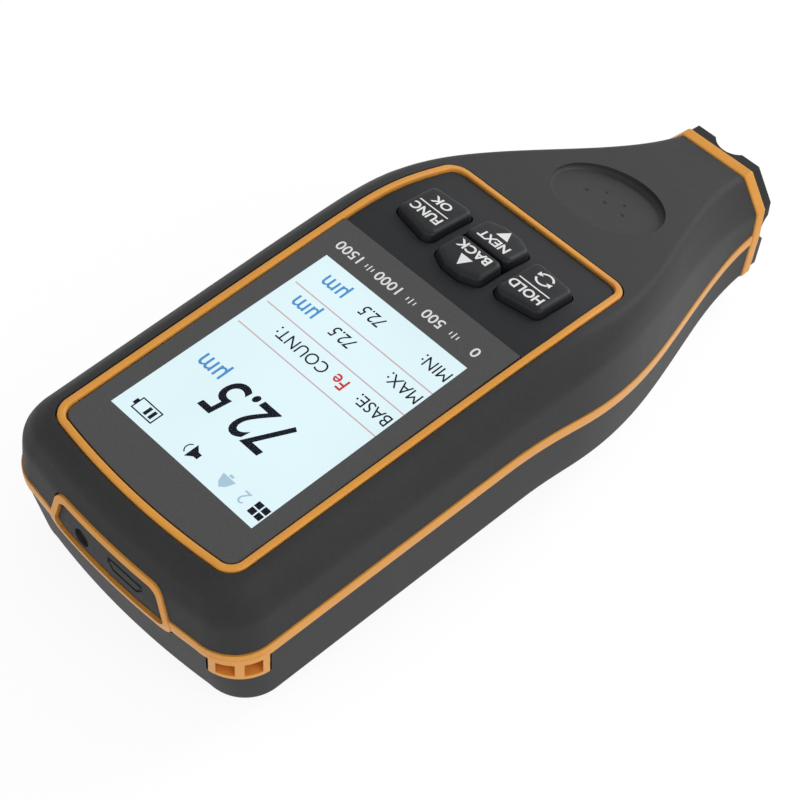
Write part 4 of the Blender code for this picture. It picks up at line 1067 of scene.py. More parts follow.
@dataclass
class Panel:
    """The outline of the panel's ring."""

    ring_width: float = 0.0014
    half_width: float = 0.02275
    taper: float = 0.0125
    foot_y: float = 0.0060
    bulge: float = 0.0013
    nose_y: float = 0.1034
    radius: float = 0.0040
    waist_start: float = 0.080
    waist_curve: float = 3.4
    steps: int = 12

    def ring_half(self, y: float) -> float:
        """Return the half width of the ring's outer edge."""
        widening = self.taper * (min(y, self.waist_start) - FORM.taper_start)
        return self.half_width + widening - self.waist_curve * max(y - self.waist_start, 0.0) ** 2

    def ring_outline(self) -> list[Point]:
        """Trace the ring's outer edge."""
        shares = [step / self.steps for step in range(self.steps + 1)]
        turns = [math.pi / 2.0 * share for share in shares]
        arcs = [(self.radius * math.sin(t), self.radius * (1.0 - math.cos(t))) for t in turns]
        straight = self.ring_half(self.foot_y) - self.radius
        shoulder = self.nose_y - self.radius
        waist = [self.waist_start + (shoulder - self.waist_start) * s for s in shares[:-1]]
        right = [(straight * s, self.foot_y + self.bulge * s * s) for s in shares[:-1]]
        right += [(straight + out, self.foot_y + self.bulge + rise) for out, rise in arcs]
        right += [(self.ring_half(y), y) for y in waist]
        right += [(self.ring_half(shoulder) - rise, shoulder + out) for out, rise in arcs]
        return right + [(-x, y) for x, y in reversed(right[1:])]


@dataclass
class Port:
    """The charging port's opening in the foot face."""

    depth: float = 0.0129
    half_top: float = 0.0120
    half_bottom: float = 0.0146
    height: float = 0.0090
    frame_wall: float = 0.0013
    radius: float = 0.0022
    steps: int = 10
    near: float = -0.01

    def outline_solid(self, name: str, grow: float, far: float = 0.012) -> Piece:
        """Extrude the opening along Y.

        Args:
            name: Name of the object.
            grow: How far its outline is grown.
            far: Where it ends inside the body.

        Returns:
            The solid.
        """
        top = -(self.depth - self.height / 2.0)
        low = -(self.depth + self.height / 2.0)
        upper = [(-self.half_top, top), (self.half_top, top)]
        corners = offset_outline([*upper, (self.half_bottom, low), (-self.half_bottom, low)], grow)
        outline = rounded_outline(corners, self.radius + grow * 0.5, self.steps)
        return prism(name, outline, self.near, far, LENGTHWAYS)


@dataclass
class LanyardEye:
    """The eye's place on the foot corner, where the rear skin leaves it room."""

    turn: float = -0.66
    width: float = 0.0100
    height: float = 0.0060
    frame_wall: float = 0.0011
    top_share: float = 0.4
    bar: float = 0.0015
    bar_thickness: float = 0.0016
    pocket: float = 0.0046
    band_half: float = 0.00125
    block_reach: float = 0.004
    slot_reach: float = 0.006
    notch_lift: float = 0.0025

    def _box(self, name: str, near: Place, far: Place) -> Piece:
        """Make a box between two corners.

        Args:
            name: Name of the object.
            near: Its first corner, about the foot corner's middle.
            far: Its last corner.

        Returns:
            The box.
        """
        (x, y, low), (right, back, high) = near, far
        made = prism(name, [(x, y), (right, y), (right, back), (x, back)], low, high)
        radius = FORM.corner_radius
        middle = (FORM.half_width_body - radius, FORM.foot_bulge + radius, 0.0)
        made.data.transform(Matrix.Translation(middle) @ Matrix.Rotation(self.turn, 4, "Z"))
        return made

    def _solid(self, name: str, grow: float, lift: float) -> Piece:
        """Make the eye's block.

        Args:
            name: Name of the object.
            grow: How far it is grown.
            lift: How high it reaches over the band's lower edge.

        Returns:
            The block.
        """
        top = -(FORM.parting + self.band_half)
        half = self.width / 2.0 + grow
        inner = FORM.corner_radius - self.pocket - self.frame_wall - grow
        far = (FORM.corner_radius + self.block_reach, half, top + lift)
        return self._box(name, (inner, -half, top - self.height - grow), far)

    def notch(self) -> Piece:
        """Make the notch that the rear skin has round the eye."""
        return self._solid("eye_notch", FORM.fit, self.notch_lift)

    def block(self) -> Piece:
        """Make the eye's block."""
        return self._solid("eye_block", 0.0, self.band_half)

    def openings(self, margin: float) -> list[Piece]:
        """Make the strap's passage, a slot each side of the bar and the room behind it.

        Args:
            margin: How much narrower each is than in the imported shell.

        Returns:
            The cutters.
        """
        edge = -(FORM.parting + self.band_half)
        top = edge - self.frame_wall * self.top_share - margin
        low = edge - self.height + self.frame_wall + margin
        half = self.width / 2.0 - self.frame_wall - margin
        back = FORM.corner_radius - self.pocket
        behind_bar = back + self.pocket - self.bar_thickness
        out = FORM.corner_radius + self.slot_reach
        bar = self.bar / 2.0 + margin
        spans = ((-half, half, behind_bar), (-half, -bar, out), (bar, half, out))
        return [self._box("slot", (back, a, low), (reach, b, top)) for a, b, reach in spans]


PANEL = Panel()
PORT = Port()
EYE = LanyardEye()


@dataclass
class Skins:
    """The two soft skins, lofted finely over the same creases as the solids."""

    wall: float = 0.0012
    band_half: float = 0.00125
    ring_gap: float = 0.0003
    dish_y: float = 0.1225
    dish_radius: float = 0.0117
    dish_depth: float = 0.0016
    dish_tilt: float = 0.0620
    dish_round_share: float = 0.55
    dimple_radius: float = 0.0011
    dimple_sink: float = 0.00085
    dimples: tuple[Point, ...] = (
        (-0.0046, -0.0008), (0.0, -0.0008), (0.0046, -0.0008), (-0.0023, 0.0028), (0.0023, 0.0028)
    )
    screw_places: tuple[Point, ...] = (
        (-0.0195, 0.0175), (-0.0195, 0.0740), (0.0195, 0.0175), (0.0195, 0.0740)
    )
    well_radius: float = 0.0027
    lip_round: float = 0.0003
    lip_angle: float = 42.0

    def dish_place(self) -> Matrix:
        """Return where the thumb dish's floor is and how it leans."""
        depth = FORM.ramp(self.dish_y) + FORM.crown_depth + self.dish_depth / 2.0
        lean = math.atan(FORM.ramp_slope) + self.dish_tilt
        return Matrix.Translation((0.0, self.dish_y, -depth)) @ Matrix.Rotation(-lean, 4, "X")

    def dimple_cutters(self) -> Piece:
        """Set a ball on each dimple's place with Geometry Nodes."""
        made = from_points("dimples", [(x, y, self.dimple_sink) for x, y in self.dimples])
        tree = NodeTree("dimple_balls", {"Radius": self.dimple_radius})
        sizes = {"Segments": 24, "Rings": 12, "Radius": tree.inputs["Radius"]}
        ball = tree.node("GeometryNodeMeshUVSphere", sizes).outputs[0]
        tree.apply(made, tree.on_points(tree.inputs[0], ball), Finish.SKIN)
        made.data.transform(self.dish_place())
        return made

    def _lined(self, name: str, place: Matrix) -> Piece:
        """Loft the body inside the skin's wall, and sink it below the thumb dish.

        Args:
            name: Name of the object.
            place: Where the dish's floor is.

        Returns:
            The inside.
        """
        below = place @ Matrix.Translation((0, 0, -self.wall))
        lowered = cylinder("lowered", self.dish_radius + self.wall, 0.012, below, 128)
        return combine(FORM.loft(name, self.wall), "DIFFERENCE", lowered)

    def build(self) -> None:
        """Make both skins."""
        edge = self.band_half + FORM.fit
        place = self.dish_place()
        dish = cylinder("dish", self.dish_radius, 0.010, place, 128)
        round_edges(dish, self.dish_depth * self.dish_round_share, 5)
        hole = prism("hole", offset_outline(PANEL.ring_outline(), self.ring_gap), -0.012, 0.01)
        wells = [
            cylinder("well", self.well_radius, 0.06, Matrix.Translation((x, y, -0.065)))
            for x, y in self.screw_places
        ]
        inner, lined = FORM.loft("skin_inside", self.wall), self._lined("dish_floor", place)
        for half, above, inside, rest in (
            ("front", True, lined, (hole, dish, self.dimple_cutters())),
            ("rear", False, inner, (EYE.notch(), *wells)),
        ):
            skin = FORM.loft(half + "_skin")
            zone = FORM.half_space("zone", -edge if above else edge, above)
            notch = PORT.outline_solid("port_notch", PORT.frame_wall + FORM.fit, 0.02)
            combine(skin, "INTERSECT", zone)
            combine(skin, "DIFFERENCE", FORM.neck_stop(), inside, notch, *rest)
            shade(round_edges(skin, self.lip_round, 2, self.lip_angle), 0.7)
            hand_in(skin, Finish.SKIN, HOUSING, half + "_overmould")


def node_copy(node: str, flatten: bool = False) -> Piece:
    """Copy and merge a CAD node's mesh.

    Args:
        node: Name of the node.
        flatten: Whether its flat faces are joined.

    Returns:
        The copy, in the row frame.
    """
    mesh = frame["nodes"][node].data.copy()
    mesh.name = node
    shape = bmesh.new()
    shape.from_mesh(mesh)
    bmesh.ops.remove_doubles(shape, verts=shape.verts, dist=10 * MERGE)
    if flatten:
        limit = math.radians(0.6)
        bmesh.ops.dissolve_limit(shape, angle_limit=limit, verts=shape.verts, edges=shape.edges)
    shape.to_mesh(mesh)
    shape.free()
    if "custom_normal" in mesh.attributes:
        mesh.attributes.remove(mesh.attributes["custom_normal"])
    return new_object(node + "_look", mesh)


@dataclass
class CopiedNode:
    """A CAD node whose form stays, with its edges softened and its round faces smooth."""

    node: str
    finish: Finish
    body: str = HOUSING
    edge: float = 0.0
    clamp: bool = True

    def build(self) -> None:
        """Copy, soften and shade the node's mesh."""
        made = node_copy(self.node, self.edge > 0.0)
        if self.edge:
            round_edges(made, self.edge, 3, 34.0, self.clamp)
        place_piece(shade(made, 0.62), self.finish, self.body, self.node)


@dataclass
class Shells:
    """The orange shells: their packed inside, with a finely swept ring, band, frame and eye."""

    ring_round: float = 0.00042
    round_steps: int = 4
    ring_sink: float = 0.0010
    ring_margin: float = 0.0002
    ring_step: float = 0.0009
    trench_top: float = -0.008
    band_half: float = 0.00125
    band_proud: float = 0.0002
    frame_proud: float = 0.0003
    eye_proud: float = 0.00025
    core: float = 0.0009
    root: float = 0.0016
    slack: float = 0.00003
    lip: float = 0.00012
    lip_angle: float = 48.0

    def _sweep(self, name: str, section: Sequence[Point]) -> Piece:
        """Sweep a closed section along the ring.

        Args:
            name: Name of the object.
            section: Its corners: how far inward of the ring's outer edge, and how deep.

        Returns:
            The closed solid.
        """
        corners = [Vector(corner) for corner in PANEL.ring_outline()]
        line: list[Point] = []
        for first, second in zip(corners, corners[1:] + corners[:1]):
            pieces = max(1, math.ceil((second - first).length / self.ring_step))
            line += [tuple(first.lerp(second, step / pieces)) for step in range(pieces)]
        shape = bmesh.new()
        loops: list[list[bmesh.types.BMVert]] = []
        for inward, depth in section:
            moved = offset_outline(line, -inward)
            loops.append([shape.verts.new((x, y, -(FORM.ramp(y) + depth))) for x, y in moved])
        bridge(shape, loops + loops[:1])
        return from_shape(name, shape)

    def front(self) -> None:
        """Give the front shell its smooth ring."""
        wide, soft = PANEL.ring_width, self.ring_round
        section: list[Point] = [(0.0, self.ring_sink)]
        for middle, start in ((soft, 180.0), (wide - soft, 90.0)):
            for step in range(self.round_steps + 1):
                turn = math.radians(start - 90.0 / self.round_steps * step)
                section.append((middle + soft * math.cos(turn), soft - soft * math.sin(turn)))
        section.append((wide, self.ring_sink))
        ring = self._sweep("front_shell_ring", section)
        floor = self.ring_sink - self.ring_margin
        near, far, top = -self.ring_margin, wide + self.ring_margin, self.trench_top
        trench = self._sweep("trench", [(near, floor), (near, top), (far, top), (far, floor)])
        shell = node_copy("front_shell")
        shell.data.transform(FROM_ROW)
        combine(shell, "DIFFERENCE", trench)
        hand_in(shade(shell), Finish.ORANGE, HOUSING, "front_shell")
        hand_in(shade(ring, 0.9), Finish.ORANGE, HOUSING)

    def rear(self) -> None:
        """Give the rear shell its smooth band, port frame and lanyard eye."""
        shell = node_copy("rear_shell")
        shell.data.transform(FROM_ROW)
        combine(shell, "INTERSECT", FORM.loft("core", self.core))
        upper = FORM.half_space("band_upper", -self.band_half, False)
        lower = FORM.half_space("band_lower", self.band_half, True)
        band = combine(FORM.loft("rear_shell_band", -self.band_proud), "INTERSECT", upper, lower)
        port_frame = PORT.outline_solid("port_frame", PORT.frame_wall)
        combine(port_frame, "INTERSECT", FORM.loft("frame_body", -self.frame_proud))
        eye = combine(EYE.block(), "INTERSECT", FORM.loft("eye_body", -self.eye_proud))
        combine(band, "UNION", port_frame, eye)
        inside = FORM.loft("root", self.root)
        opening = PORT.outline_solid("opening", -self.slack)
        slots = EYE.openings(self.slack)
        combine(band, "DIFFERENCE", inside, opening, FORM.neck_stop(), *slots)
        round_edges(band, self.lip, 2, self.lip_angle)
        hand_in(shade(shell), Finish.ORANGE, HOUSING, "rear_shell")
        hand_in(shade(band, 0.7), Finish.ORANGE, HOUSING)


@dataclass
class KeyTops:
    """The four keys: their packed stems, with soft domed tops that flare into the mat."""

    kinds: tuple[str, ...] = ("menu", "down", "up", "record")
    place_y: float = 0.0876
    radius: float = 0.0016
    least_radius: float = 0.0004
    side_x: float = 0.0127
    side_width: float = 0.0098
    side_length: float = 0.0122
    middle_width: float = 0.0109
    middle_length: float = 0.0080
    middle_split: float = 0.0006
    point: float = 0.0016
    tip_share: float = 0.35
    cut_depth: float = 0.0004
    cut_span: Point = (0.07, 0.11)
    cut_steps: int = 40
    cut_half: float = 0.03
    cut_top: float = 0.02
    cap_shares: tuple[float, ...] = (0.75, 0.50, 0.25)
    corner_steps: int = 6
    profile: tuple[Point, ...] = (
        (0.00022, -0.0024),
        (0.00022, -0.0009),
        (0.00014, -0.0004),
        (0.00002, 0.0000),
        (-0.00006, 0.00040),
        (-0.00020, 0.00070),
        (-0.00044, 0.00092),
        (-0.00080, 0.00104),
        (-0.00125, 0.00108),
    )

    def corners(self, kind: str) -> list[Point]:
        """Work out a key's outline.

        Args:
            kind: Which of the four keys.

        Returns:
            Its corners about the keypad's middle.
        """
        point = self.point
        if kind in ("menu", "record"):
            side = -1.0 if kind == "menu" else 1.0
            inner = side * (self.side_x - self.side_width / 2.0)
            outer = side * (self.side_x + self.side_width / 2.0)
            nose = self.side_length / 2.0
            foot = [(inner + side * point, -nose), (inner, point * 0.5 - nose)]
            return [(inner, nose), (outer, nose - point * 0.5), (outer, point - nose), *foot]
        side = 1.0 if kind == "up" else -1.0
        half = self.middle_width / 2.0
        near = side * self.middle_split / 2.0
        far = near + side * self.middle_length
        waist = far - side * point
        tip = half * self.tip_share
        return [(-half, near), (half, near), (half, waist), (tip, far), (-tip, far), (-half, waist)]

    def _raised(self, outline: Sequence[Point], height: float) -> list[Vector]:
        """Raise an outline to a height over the panel's surface.

        Args:
            outline: Its points on the keypad.
            height: How high they end.

        Returns:
            The points.
        """
        tilt = FORM.ramp_tilt(self.place_y)
        middle = Matrix.Translation((0.0, self.place_y, -FORM.ramp(self.place_y)))
        place = middle @ Matrix.Rotation(-tilt, 4, "X")
        made: list[Vector] = []
        for x, y in outline:
            rise = height
            for _ in range(3):
                point = place @ Vector((x, y, rise))
                rise += (height - FORM.ramp(point.y) - point.z) / math.cos(tilt)
            made.append(point)
        return made

    def top(self, kind: str) -> Piece:
        """Make one key's domed top.

        Args:
            kind: Which of the four keys.

        Returns:
            The top.
        """
        rows: list[tuple[list[Point], float]] = []
        for grow, height in self.profile:
            grown = offset_outline(self.corners(kind), grow)
            radius = max(self.radius + grow, self.least_radius)
            rows.append((rounded_outline(grown, radius, self.corner_steps), height))
        edge = [Vector(corner) for corner in rows[-1][0]]
        middle = sum(edge, Vector((0.0, 0.0))) / len(edge)
        for share in self.cap_shares:
            rows.append(([tuple(middle.lerp(corner, share)) for corner in edge], height))
        shape = bmesh.new()
        raised = [self._raised(*row) for row in rows]
        loops = [[shape.verts.new(point) for point in points] for points in raised]
        bridge(shape, loops)
        shape.faces.new(loops[0])
        shape.faces.new(loops[-1])
        return from_shape("key_%s_top" % kind, shape)

    def build(self) -> None:
        """Make the four keys."""
        start, end = self.cut_span
        steps = range(self.cut_steps + 1)
        along = [start + (end - start) * step / self.cut_steps for step in steps]
        edge = [(y, -(FORM.ramp(y) + self.cut_depth)) for y in along]
        edge += [(along[-1], self.cut_top), (along[0], self.cut_top)]
        for kind in self.kinds:
            key = "key_" + kind
            stem = node_copy(key)
            stem.data.transform(FROM_ROW)
            above = prism("above", edge, -self.cut_half, self.cut_half, SIDEWAYS)
            combine(stem, "DIFFERENCE", above)
            hand_in(shade(stem), Finish.KEY, key, key)
            hand_in(shade(self.top(kind), 1.2), Finish.KEY, key)


@dataclass
class Copies:
    """Every node that keeps its own form."""

    rows: tuple[tuple[Any, ...], ...] = (
        ("nose_collar", Finish.ORANGE, HOUSING, 0.0004, False),
        ("nose_cap", Finish.CAP, HOUSING, 0.00045),
        ("screen_lens", Finish.LENS, HOUSING, 0.00012),
        ("keypad_mat", Finish.MAT, HOUSING, 0.0003),
        ("port_plug", Finish.SKIN, "port_plug", 0.00012),
        ("charging_socket", Finish.TIN, HOUSING, 0.0001),
        ("probe_guide", Finish.CAP, HOUSING, 0.0002),
        ("probe_sleeve", Finish.BRASS, "probe", 0.0002),
        ("probe_tip", Finish.STEEL, "probe"),
        ("probe_spring", Finish.STEEL),
        ("probe_lead", Finish.SWITCH),
        ("main_board", Finish.BOARD, HOUSING, 0.00005),
        ("lcd_panel", Finish.PANEL),
        ("lcd_frame", Finish.TIN, HOUSING, 0.0001),
        ("lens_gasket", Finish.FOAM),
        ("battery_pad", Finish.FOAM),
        ("battery_pack", Finish.FOIL, HOUSING, 0.0002),
        ("buzzer", Finish.SWITCH, HOUSING, 0.0003),
    )

    def build(self) -> None:
        """Make them all."""
        for row in self.rows:
            CopiedNode(*row).build()
        for kind in KeyTops.kinds:
            CopiedNode("switch_" + kind, Finish.SWITCH, HOUSING, 0.0001).build()
        for number in range(1, 5):
            CopiedNode("board_screw_%d" % number, Finish.STEEL, HOUSING, 0.00015).build()


class Sheet:
    """Prints words and signs as thin plates that read from the nose, upside down in the frame."""

    thickness = 0.00002
    capital_share = 0.69
    arc_steps = 24

    def __init__(self, name: str, lift: Callable[[float], float]) -> None:
        """Start an empty print.

        Args:
            name: Name of the piece.
            lift: Height of the printed surface along Y.
        """
        self.name = name
        self.lift = lift
        self.shape = bmesh.new()

    def _lay(self, points: Sequence[Point], faces: Sequence[Sequence[int]]) -> None:
        """Lay a flat mesh on the surface and give it its thickness.

        Args:
            points: Its corners.
            faces: Its faces.
        """
        lower, upper = (
            [self.shape.verts.new((x, y, self.lift(y) + rise)) for x, y in points]
            for rise in (0.0, self.thickness)
        )
        sides: dict[tuple[int, int], None] = {}
        for face in faces:
            self.shape.faces.new([upper[i] for i in face])
            self.shape.faces.new([lower[i] for i in reversed(face)])
            for a, b in zip(face, [*face[1:], face[0]]):
                if (b, a) in sides:
                    del sides[(b, a)]
                else:
                    sides[(a, b)] = None
        for a, b in sides:
            self.shape.faces.new((upper[b], upper[a], lower[a], lower[b]))

    def words(
        self, text: str, x: float, y: float, height: float, squeeze: float,
        bold: float = 0.0, slant: float = 0.0, align: str = "CENTER",
    ) -> None:
        """Print a line of text.

        Args:
            text: What it says.
            x: Where its anchor is across.
            y: Where its baseline is.
            height: Height of its capitals.
            squeeze: Width against the font's own.
            bold: How far each outline is thickened.
            slant: Italic lean.
            align: Which end or middle the anchor is.
        """
        curve = bpy.data.curves.new(self.name, "FONT")
        settings = {"body": text, "size": height / self.capital_share, "align_x": align}
        settings |= {"shear": slant, "offset": bold, "resolution_u": 5, "fill_mode": "FRONT"}
        for key, value in settings.items():
            setattr(curve, key, value)
        written = new_object(self.name, curve)
        mesh = evaluated(written)
        bpy.data.objects.remove(written, do_unlink=True)
        points = [(x - vert.co.x * squeeze, y - vert.co.y) for vert in mesh.vertices]
        self._lay(points, [list(face.vertices) for face in mesh.polygons])

    def filled(self, outline: Sequence[Point]) -> None:
        """Print one filled outline."""
        ahead = signed_area(outline) > 0.0
        self._lay(outline if ahead else outline[::-1], [range(len(outline))])

    def bar(self, x: float, y: float, width: float, height: float) -> None:
        """Print a rectangle about its middle."""
        w, h = width / 2.0, height / 2.0
        self.filled([(x - w, y - h), (x + w, y - h), (x + w, y + h), (x - w, y + h)])

    def arc(
        self, x: float, y: float, radius: float, width: float, start: float, end: float
    ) -> None:
        """Print part of a ring.

        Args:
            x: Where its middle is across.
            y: Where its middle is along.
            radius: Its middle radius.
            width: Its width.
            start: The first angle, in degrees.
            end: The last angle.
        """
        steps = range(self.arc_steps + 1)
        turns = [math.radians(start + (end - start) * step / self.arc_steps) for step in steps]
        rims = (radius - width / 2.0, radius + width / 2.0)
        points = [(x + rim * math.cos(t), y + rim * math.sin(t)) for t in turns for rim in rims]
        self._lay(points, [(2 * i, 2 * i + 1, 2 * i + 3, 2 * i + 2) for i in steps[:-1]])

    def build(self, finish: Finish, body: str) -> None:
        """Make the print into a piece that rides on a body."""
        bmesh.ops.remove_doubles(self.shape, verts=self.shape.verts, dist=MERGE)
        hand_in(from_shape(self.name, self.shape, True), finish, body)


@dataclass
class DisplayPicture:
    """What the lit display shows: a status row, one large reading and three rows.

    Each line of words has its ink, text, anchor and baseline, capitals, width, weight and lean.
    """

    surface: float = -0.00188
    left: float = 0.0165
    inks: tuple[str, ...] = ("black", "blue", "red", "pale", "line")
    rule_places: tuple[float, ...] = (0.0446, 0.0513, 0.0580)
    rule_size: Point = (0.0345, 0.00026)
    top_words: tuple[tuple[Any, ...], ...] = (
        ("black", "72.5", 0.0082, 0.0360, 0.0086, 0.75, 0.00009, 0.20),
        ("blue", "µm", -0.0094, 0.0360, 0.0040, 0.80, 0.00004),
        ("black", "BASE:", 0.0165, 0.0494, 0.0025, 0.90),
        ("red", "Fe", 0.0060, 0.0494, 0.0026, 0.90, 0.00005),
        ("black", "COUNT:", 0.0012, 0.0494, 0.0025, 0.90),
    )
    rows: tuple[tuple[float, str], ...] = ((0.0565, "MAX:"), (0.0636, "MIN:"))
    status_y: float = 0.0203
    squares_x: float = 0.0151
    square: Point = (0.00078, 0.00128)
    plug_x: float = 0.0070
    plug: tuple[Point, ...] = (
        (0.0015, 0.0009), (0.0009, -0.0008), (0.0, -0.0016), (-0.0009, -0.0008), (-0.0015, 0.0009)
    )
    speaker_x: float = -0.0008
    speaker: tuple[Point, ...] = (
        (0.0013, -0.0006), (0.0013, 0.0006), (0.0005, 0.0006),
        (-0.0007, 0.0016), (-0.0007, -0.0016), (0.0005, -0.0006),
    )
    battery_x: float = -0.0127
    battery: tuple[tuple[float, ...], ...] = (
        (0.0, -0.00135, 0.0050, 0.00026),
        (-0.0024, 0.0, 0.00026, 0.0029),
        (0.0, 0.00135, 0.0050, 0.00026),
        (0.0024, 0.0, 0.00026, 0.0029),
        (-0.00275, 0.0, 0.0006, 0.0012),
        (0.0014, 0.0, 0.0007, 0.0018),
        (0.0002, 0.0, 0.0007, 0.0018),
    )

    def build(self) -> None:
        """Print every ink as its own piece."""
        sheets = {
            ink: Sheet("display_%s_print" % ink, lambda y: self.surface) for ink in self.inks
        }
        self._status(sheets["black"], sheets["pale"])
        lines = list(self.top_words)
        for y, word in self.rows:
            lines.append(("black", word, self.left, y, 0.0025, 0.90))
            lines.append(("black", "72.5", 0.0004, y, 0.0025, 0.85, 0.00001, 0.18))
            lines.append(("blue", "µm", -0.0088, y, 0.0036, 0.85, 0.00004))
        for ink, *words in lines:
            sheets[ink].words(*words, align="LEFT")
        for y in self.rule_places:
            sheets["line"].bar(0.0, y, *self.rule_size)
        for ink, sheet in sheets.items():
            sheet.build(Finish[ink.upper() + "_INK"], HOUSING)

    def _status(self, black: Sheet, pale: Sheet) -> None:
        """Print the status row: four squares, a digit, a plug, a speaker and a battery.

        Args:
            black: The sheet of black ink.
            pale: The sheet of pale ink.
        """
        y = self.status_y
        step, side = self.square
        for column in (-step, step):
            for row in (-step, step):
                black.bar(self.squares_x + column, y + row, side, side)
        pale.words("2", 0.0114, y + 0.0013, 0.0026, 0.95)
        pale.filled([(self.plug_x + dx, y + dy) for dx, dy in self.plug])
        pale.bar(self.plug_x, y + 0.00135, 0.0009, 0.0005)
        black.filled([(self.speaker_x + dx, y + dy) for dx, dy in self.speaker])
        black.arc(self.speaker_x - 0.0007, y, 0.0012, 0.00022, 120.0, 240.0)
        for dx, dy, width, height in self.battery:
            black.bar(self.battery_x + dx, y + dy, width, height)


@dataclass
class WindowPrint:
    """The plain scale of numbers on the window's border."""

    surface: float = -0.00060
    baseline: float = 0.0701
    numbers: tuple[tuple[str, float], ...] = (
        ("0", 0.0160), ("500", 0.0058), ("1000", -0.0052), ("1500", -0.0150)
    )
    digit: tuple[float, ...] = (0.0021, 1.05, 0.00003)
    ticks: tuple[Point, ...] = ((0.42, 0.0009), (0.50, 0.0015), (0.58, 0.0009))
    tick_width: float = 0.00022
    tick_lift: float = 0.00105

    def build(self) -> None:
        """Print the numbers with three ticks between each two."""
        sheet = Sheet("window_scale", lambda y: self.surface)
        for text, x in self.numbers:
            sheet.words(text, x, self.baseline, *self.digit)
        for (_, first), (_, second) in zip(self.numbers, self.numbers[1:]):
            for share, tall in self.ticks:
                x = first + (second - first) * share
                sheet.bar(x, self.baseline - self.tick_lift, self.tick_width, tall)
        sheet.build(Finish.WINDOW_INK, HOUSING)


@dataclass
class Legends:
    """White words and signs on the four keys, each legend with the key that it rides on."""

    proud: float = 0.00108
    letter: float = 0.0020
    bold: float = 0.00007
    keys: tuple[tuple[str, str], ...] = (
        ("menu", "key_menu"), ("record", "key_record"), ("down", "key_up"), ("up", "key_down")
    )
    words: tuple[tuple[str, str, float, float, float], ...] = (
        ("menu", "FUNC", -0.0127, 0.0867, 0.92),
        ("menu", "OK", -0.0127, 0.0909, 1.0),
        ("record", "HOLD", 0.0124, 0.0864, 0.95),
        ("down", "NEXT", 0.0, 0.0913, 0.92),
        ("up", "BACK", 0.0, 0.0862, 1.0),
    )
    rules: tuple[tuple[str, float, float, float, float], ...] = (
        ("menu", -0.0127, 0.0877, 0.0070, 0.0003), ("record", 0.0126, 0.0874, 0.0072, 0.0003)
    )
    arrows: tuple[tuple[str, tuple[Point, ...]], ...] = (
        ("down", ((-0.0014, 0.0923), (0.0014, 0.0923), (0.0, 0.0950))),
        ("up", ((0.0014, 0.0833), (-0.0014, 0.0833), (0.0, 0.0806))),
    )
    cycle: tuple[float, ...] = (0.0124, 0.0904, 0.0016)
    cycle_width: float = 0.00042
    cycle_sweep: Point = (125.0, 128.0)
    cycle_head: Point = (0.0010, 0.0007)

    def _top(self, y: float) -> float:
        """Return the height of a key's top."""
        return self.proud - FORM.ramp(y)

    def build(self) -> None:
        """Print each key's legend as its own piece."""
        sheets = {name: Sheet("legend_" + name, self._top) for name, _ in self.keys}
        for name, text, x, y, squeeze in self.words:
            sheets[name].words(text, x, y, self.letter, squeeze, self.bold)
        for name, *rule in self.rules:
            sheets[name].bar(*rule)
        for name, outline in self.arrows:
            sheets[name].filled(outline)
        self._cycle(sheets["record"])
        for name, key in self.keys:
            sheets[name].build(Finish.KEY_INK, key)

    def _cycle(self, sheet: Sheet) -> None:
        """Print two arrows that chase each other round.

        Args:
            sheet: The sheet that gets them.
        """
        x, y, radius = self.cycle
        length, half = self.cycle_head
        for start in (20.0, 200.0):
            sheet.arc(x, y, radius, self.cycle_width, start, start + self.cycle_sweep[0])
            turn = math.radians(start + self.cycle_sweep[1])
            out = Vector((math.cos(turn), math.sin(turn)))
            tip = Vector((x, y)) + out * radius
            ahead = Vector((-out.y, out.x)) * length
            head = (tip + ahead, tip - out * half, tip + out * half)
            sheet.filled([tuple(point) for point in head])


@dataclass
class CaseScrews:
    """The four case screws, with threads that Geometry Nodes repeat up their shanks."""

    places: tuple[Point, ...] = Skins.screw_places
    head_edge: float = 0.00018
    shank_radius: float = 0.0011
    crest: float = 0.00012
    root_share: float = 0.96
    pitch: float = 0.0008
    crest_share: float = 0.45
    turns: int = 12
    thread_start: float = -0.0316

    def _thread(self, number: int, x: float, y: float) -> Piece:
        """Thread one shank.

        Args:
            number: The screw's number.
            x: Where it is across.
            y: Where it is along.

        Returns:
            The thread.
        """
        sizes = {"Radius": self.shank_radius + self.crest, "Pitch": self.pitch, "Turns": self.turns}
        tree = NodeTree("threads", sizes)
        cone = {"Vertices": 20, "Depth": self.pitch * self.crest_share}
        cone |= {"Radius Top": self.shank_radius * self.root_share}
        cone |= {"Radius Bottom": tree.inputs["Radius"]}
        ring = tree.node("GeometryNodeMeshCone", cone).outputs[0]
        offset = tree.node("ShaderNodeCombineXYZ", {2: tree.inputs["Pitch"]})
        along = {"Count": tree.inputs["Turns"], "Offset": offset.outputs[0]}
        stack = tree.on_points(tree.node("GeometryNodeMeshLine", along).outputs[0], ring)
        thread = tree.on_points(tree.inputs[0], stack)
        made = from_points("case_thread_%d" % number, [(x, y, self.thread_start)])
        return tree.apply(made, thread, Finish.STEEL)

    def build(self) -> None:
        """Copy each screw's node and thread its shank."""
        for number, (x, y) in enumerate(self.places, 1):
            node = "case_screw_%d" % number
            CopiedNode(node, Finish.STEEL, HOUSING, self.head_edge).build()
            hand_in(shade(self._thread(number, x, y)), Finish.STEEL, HOUSING)


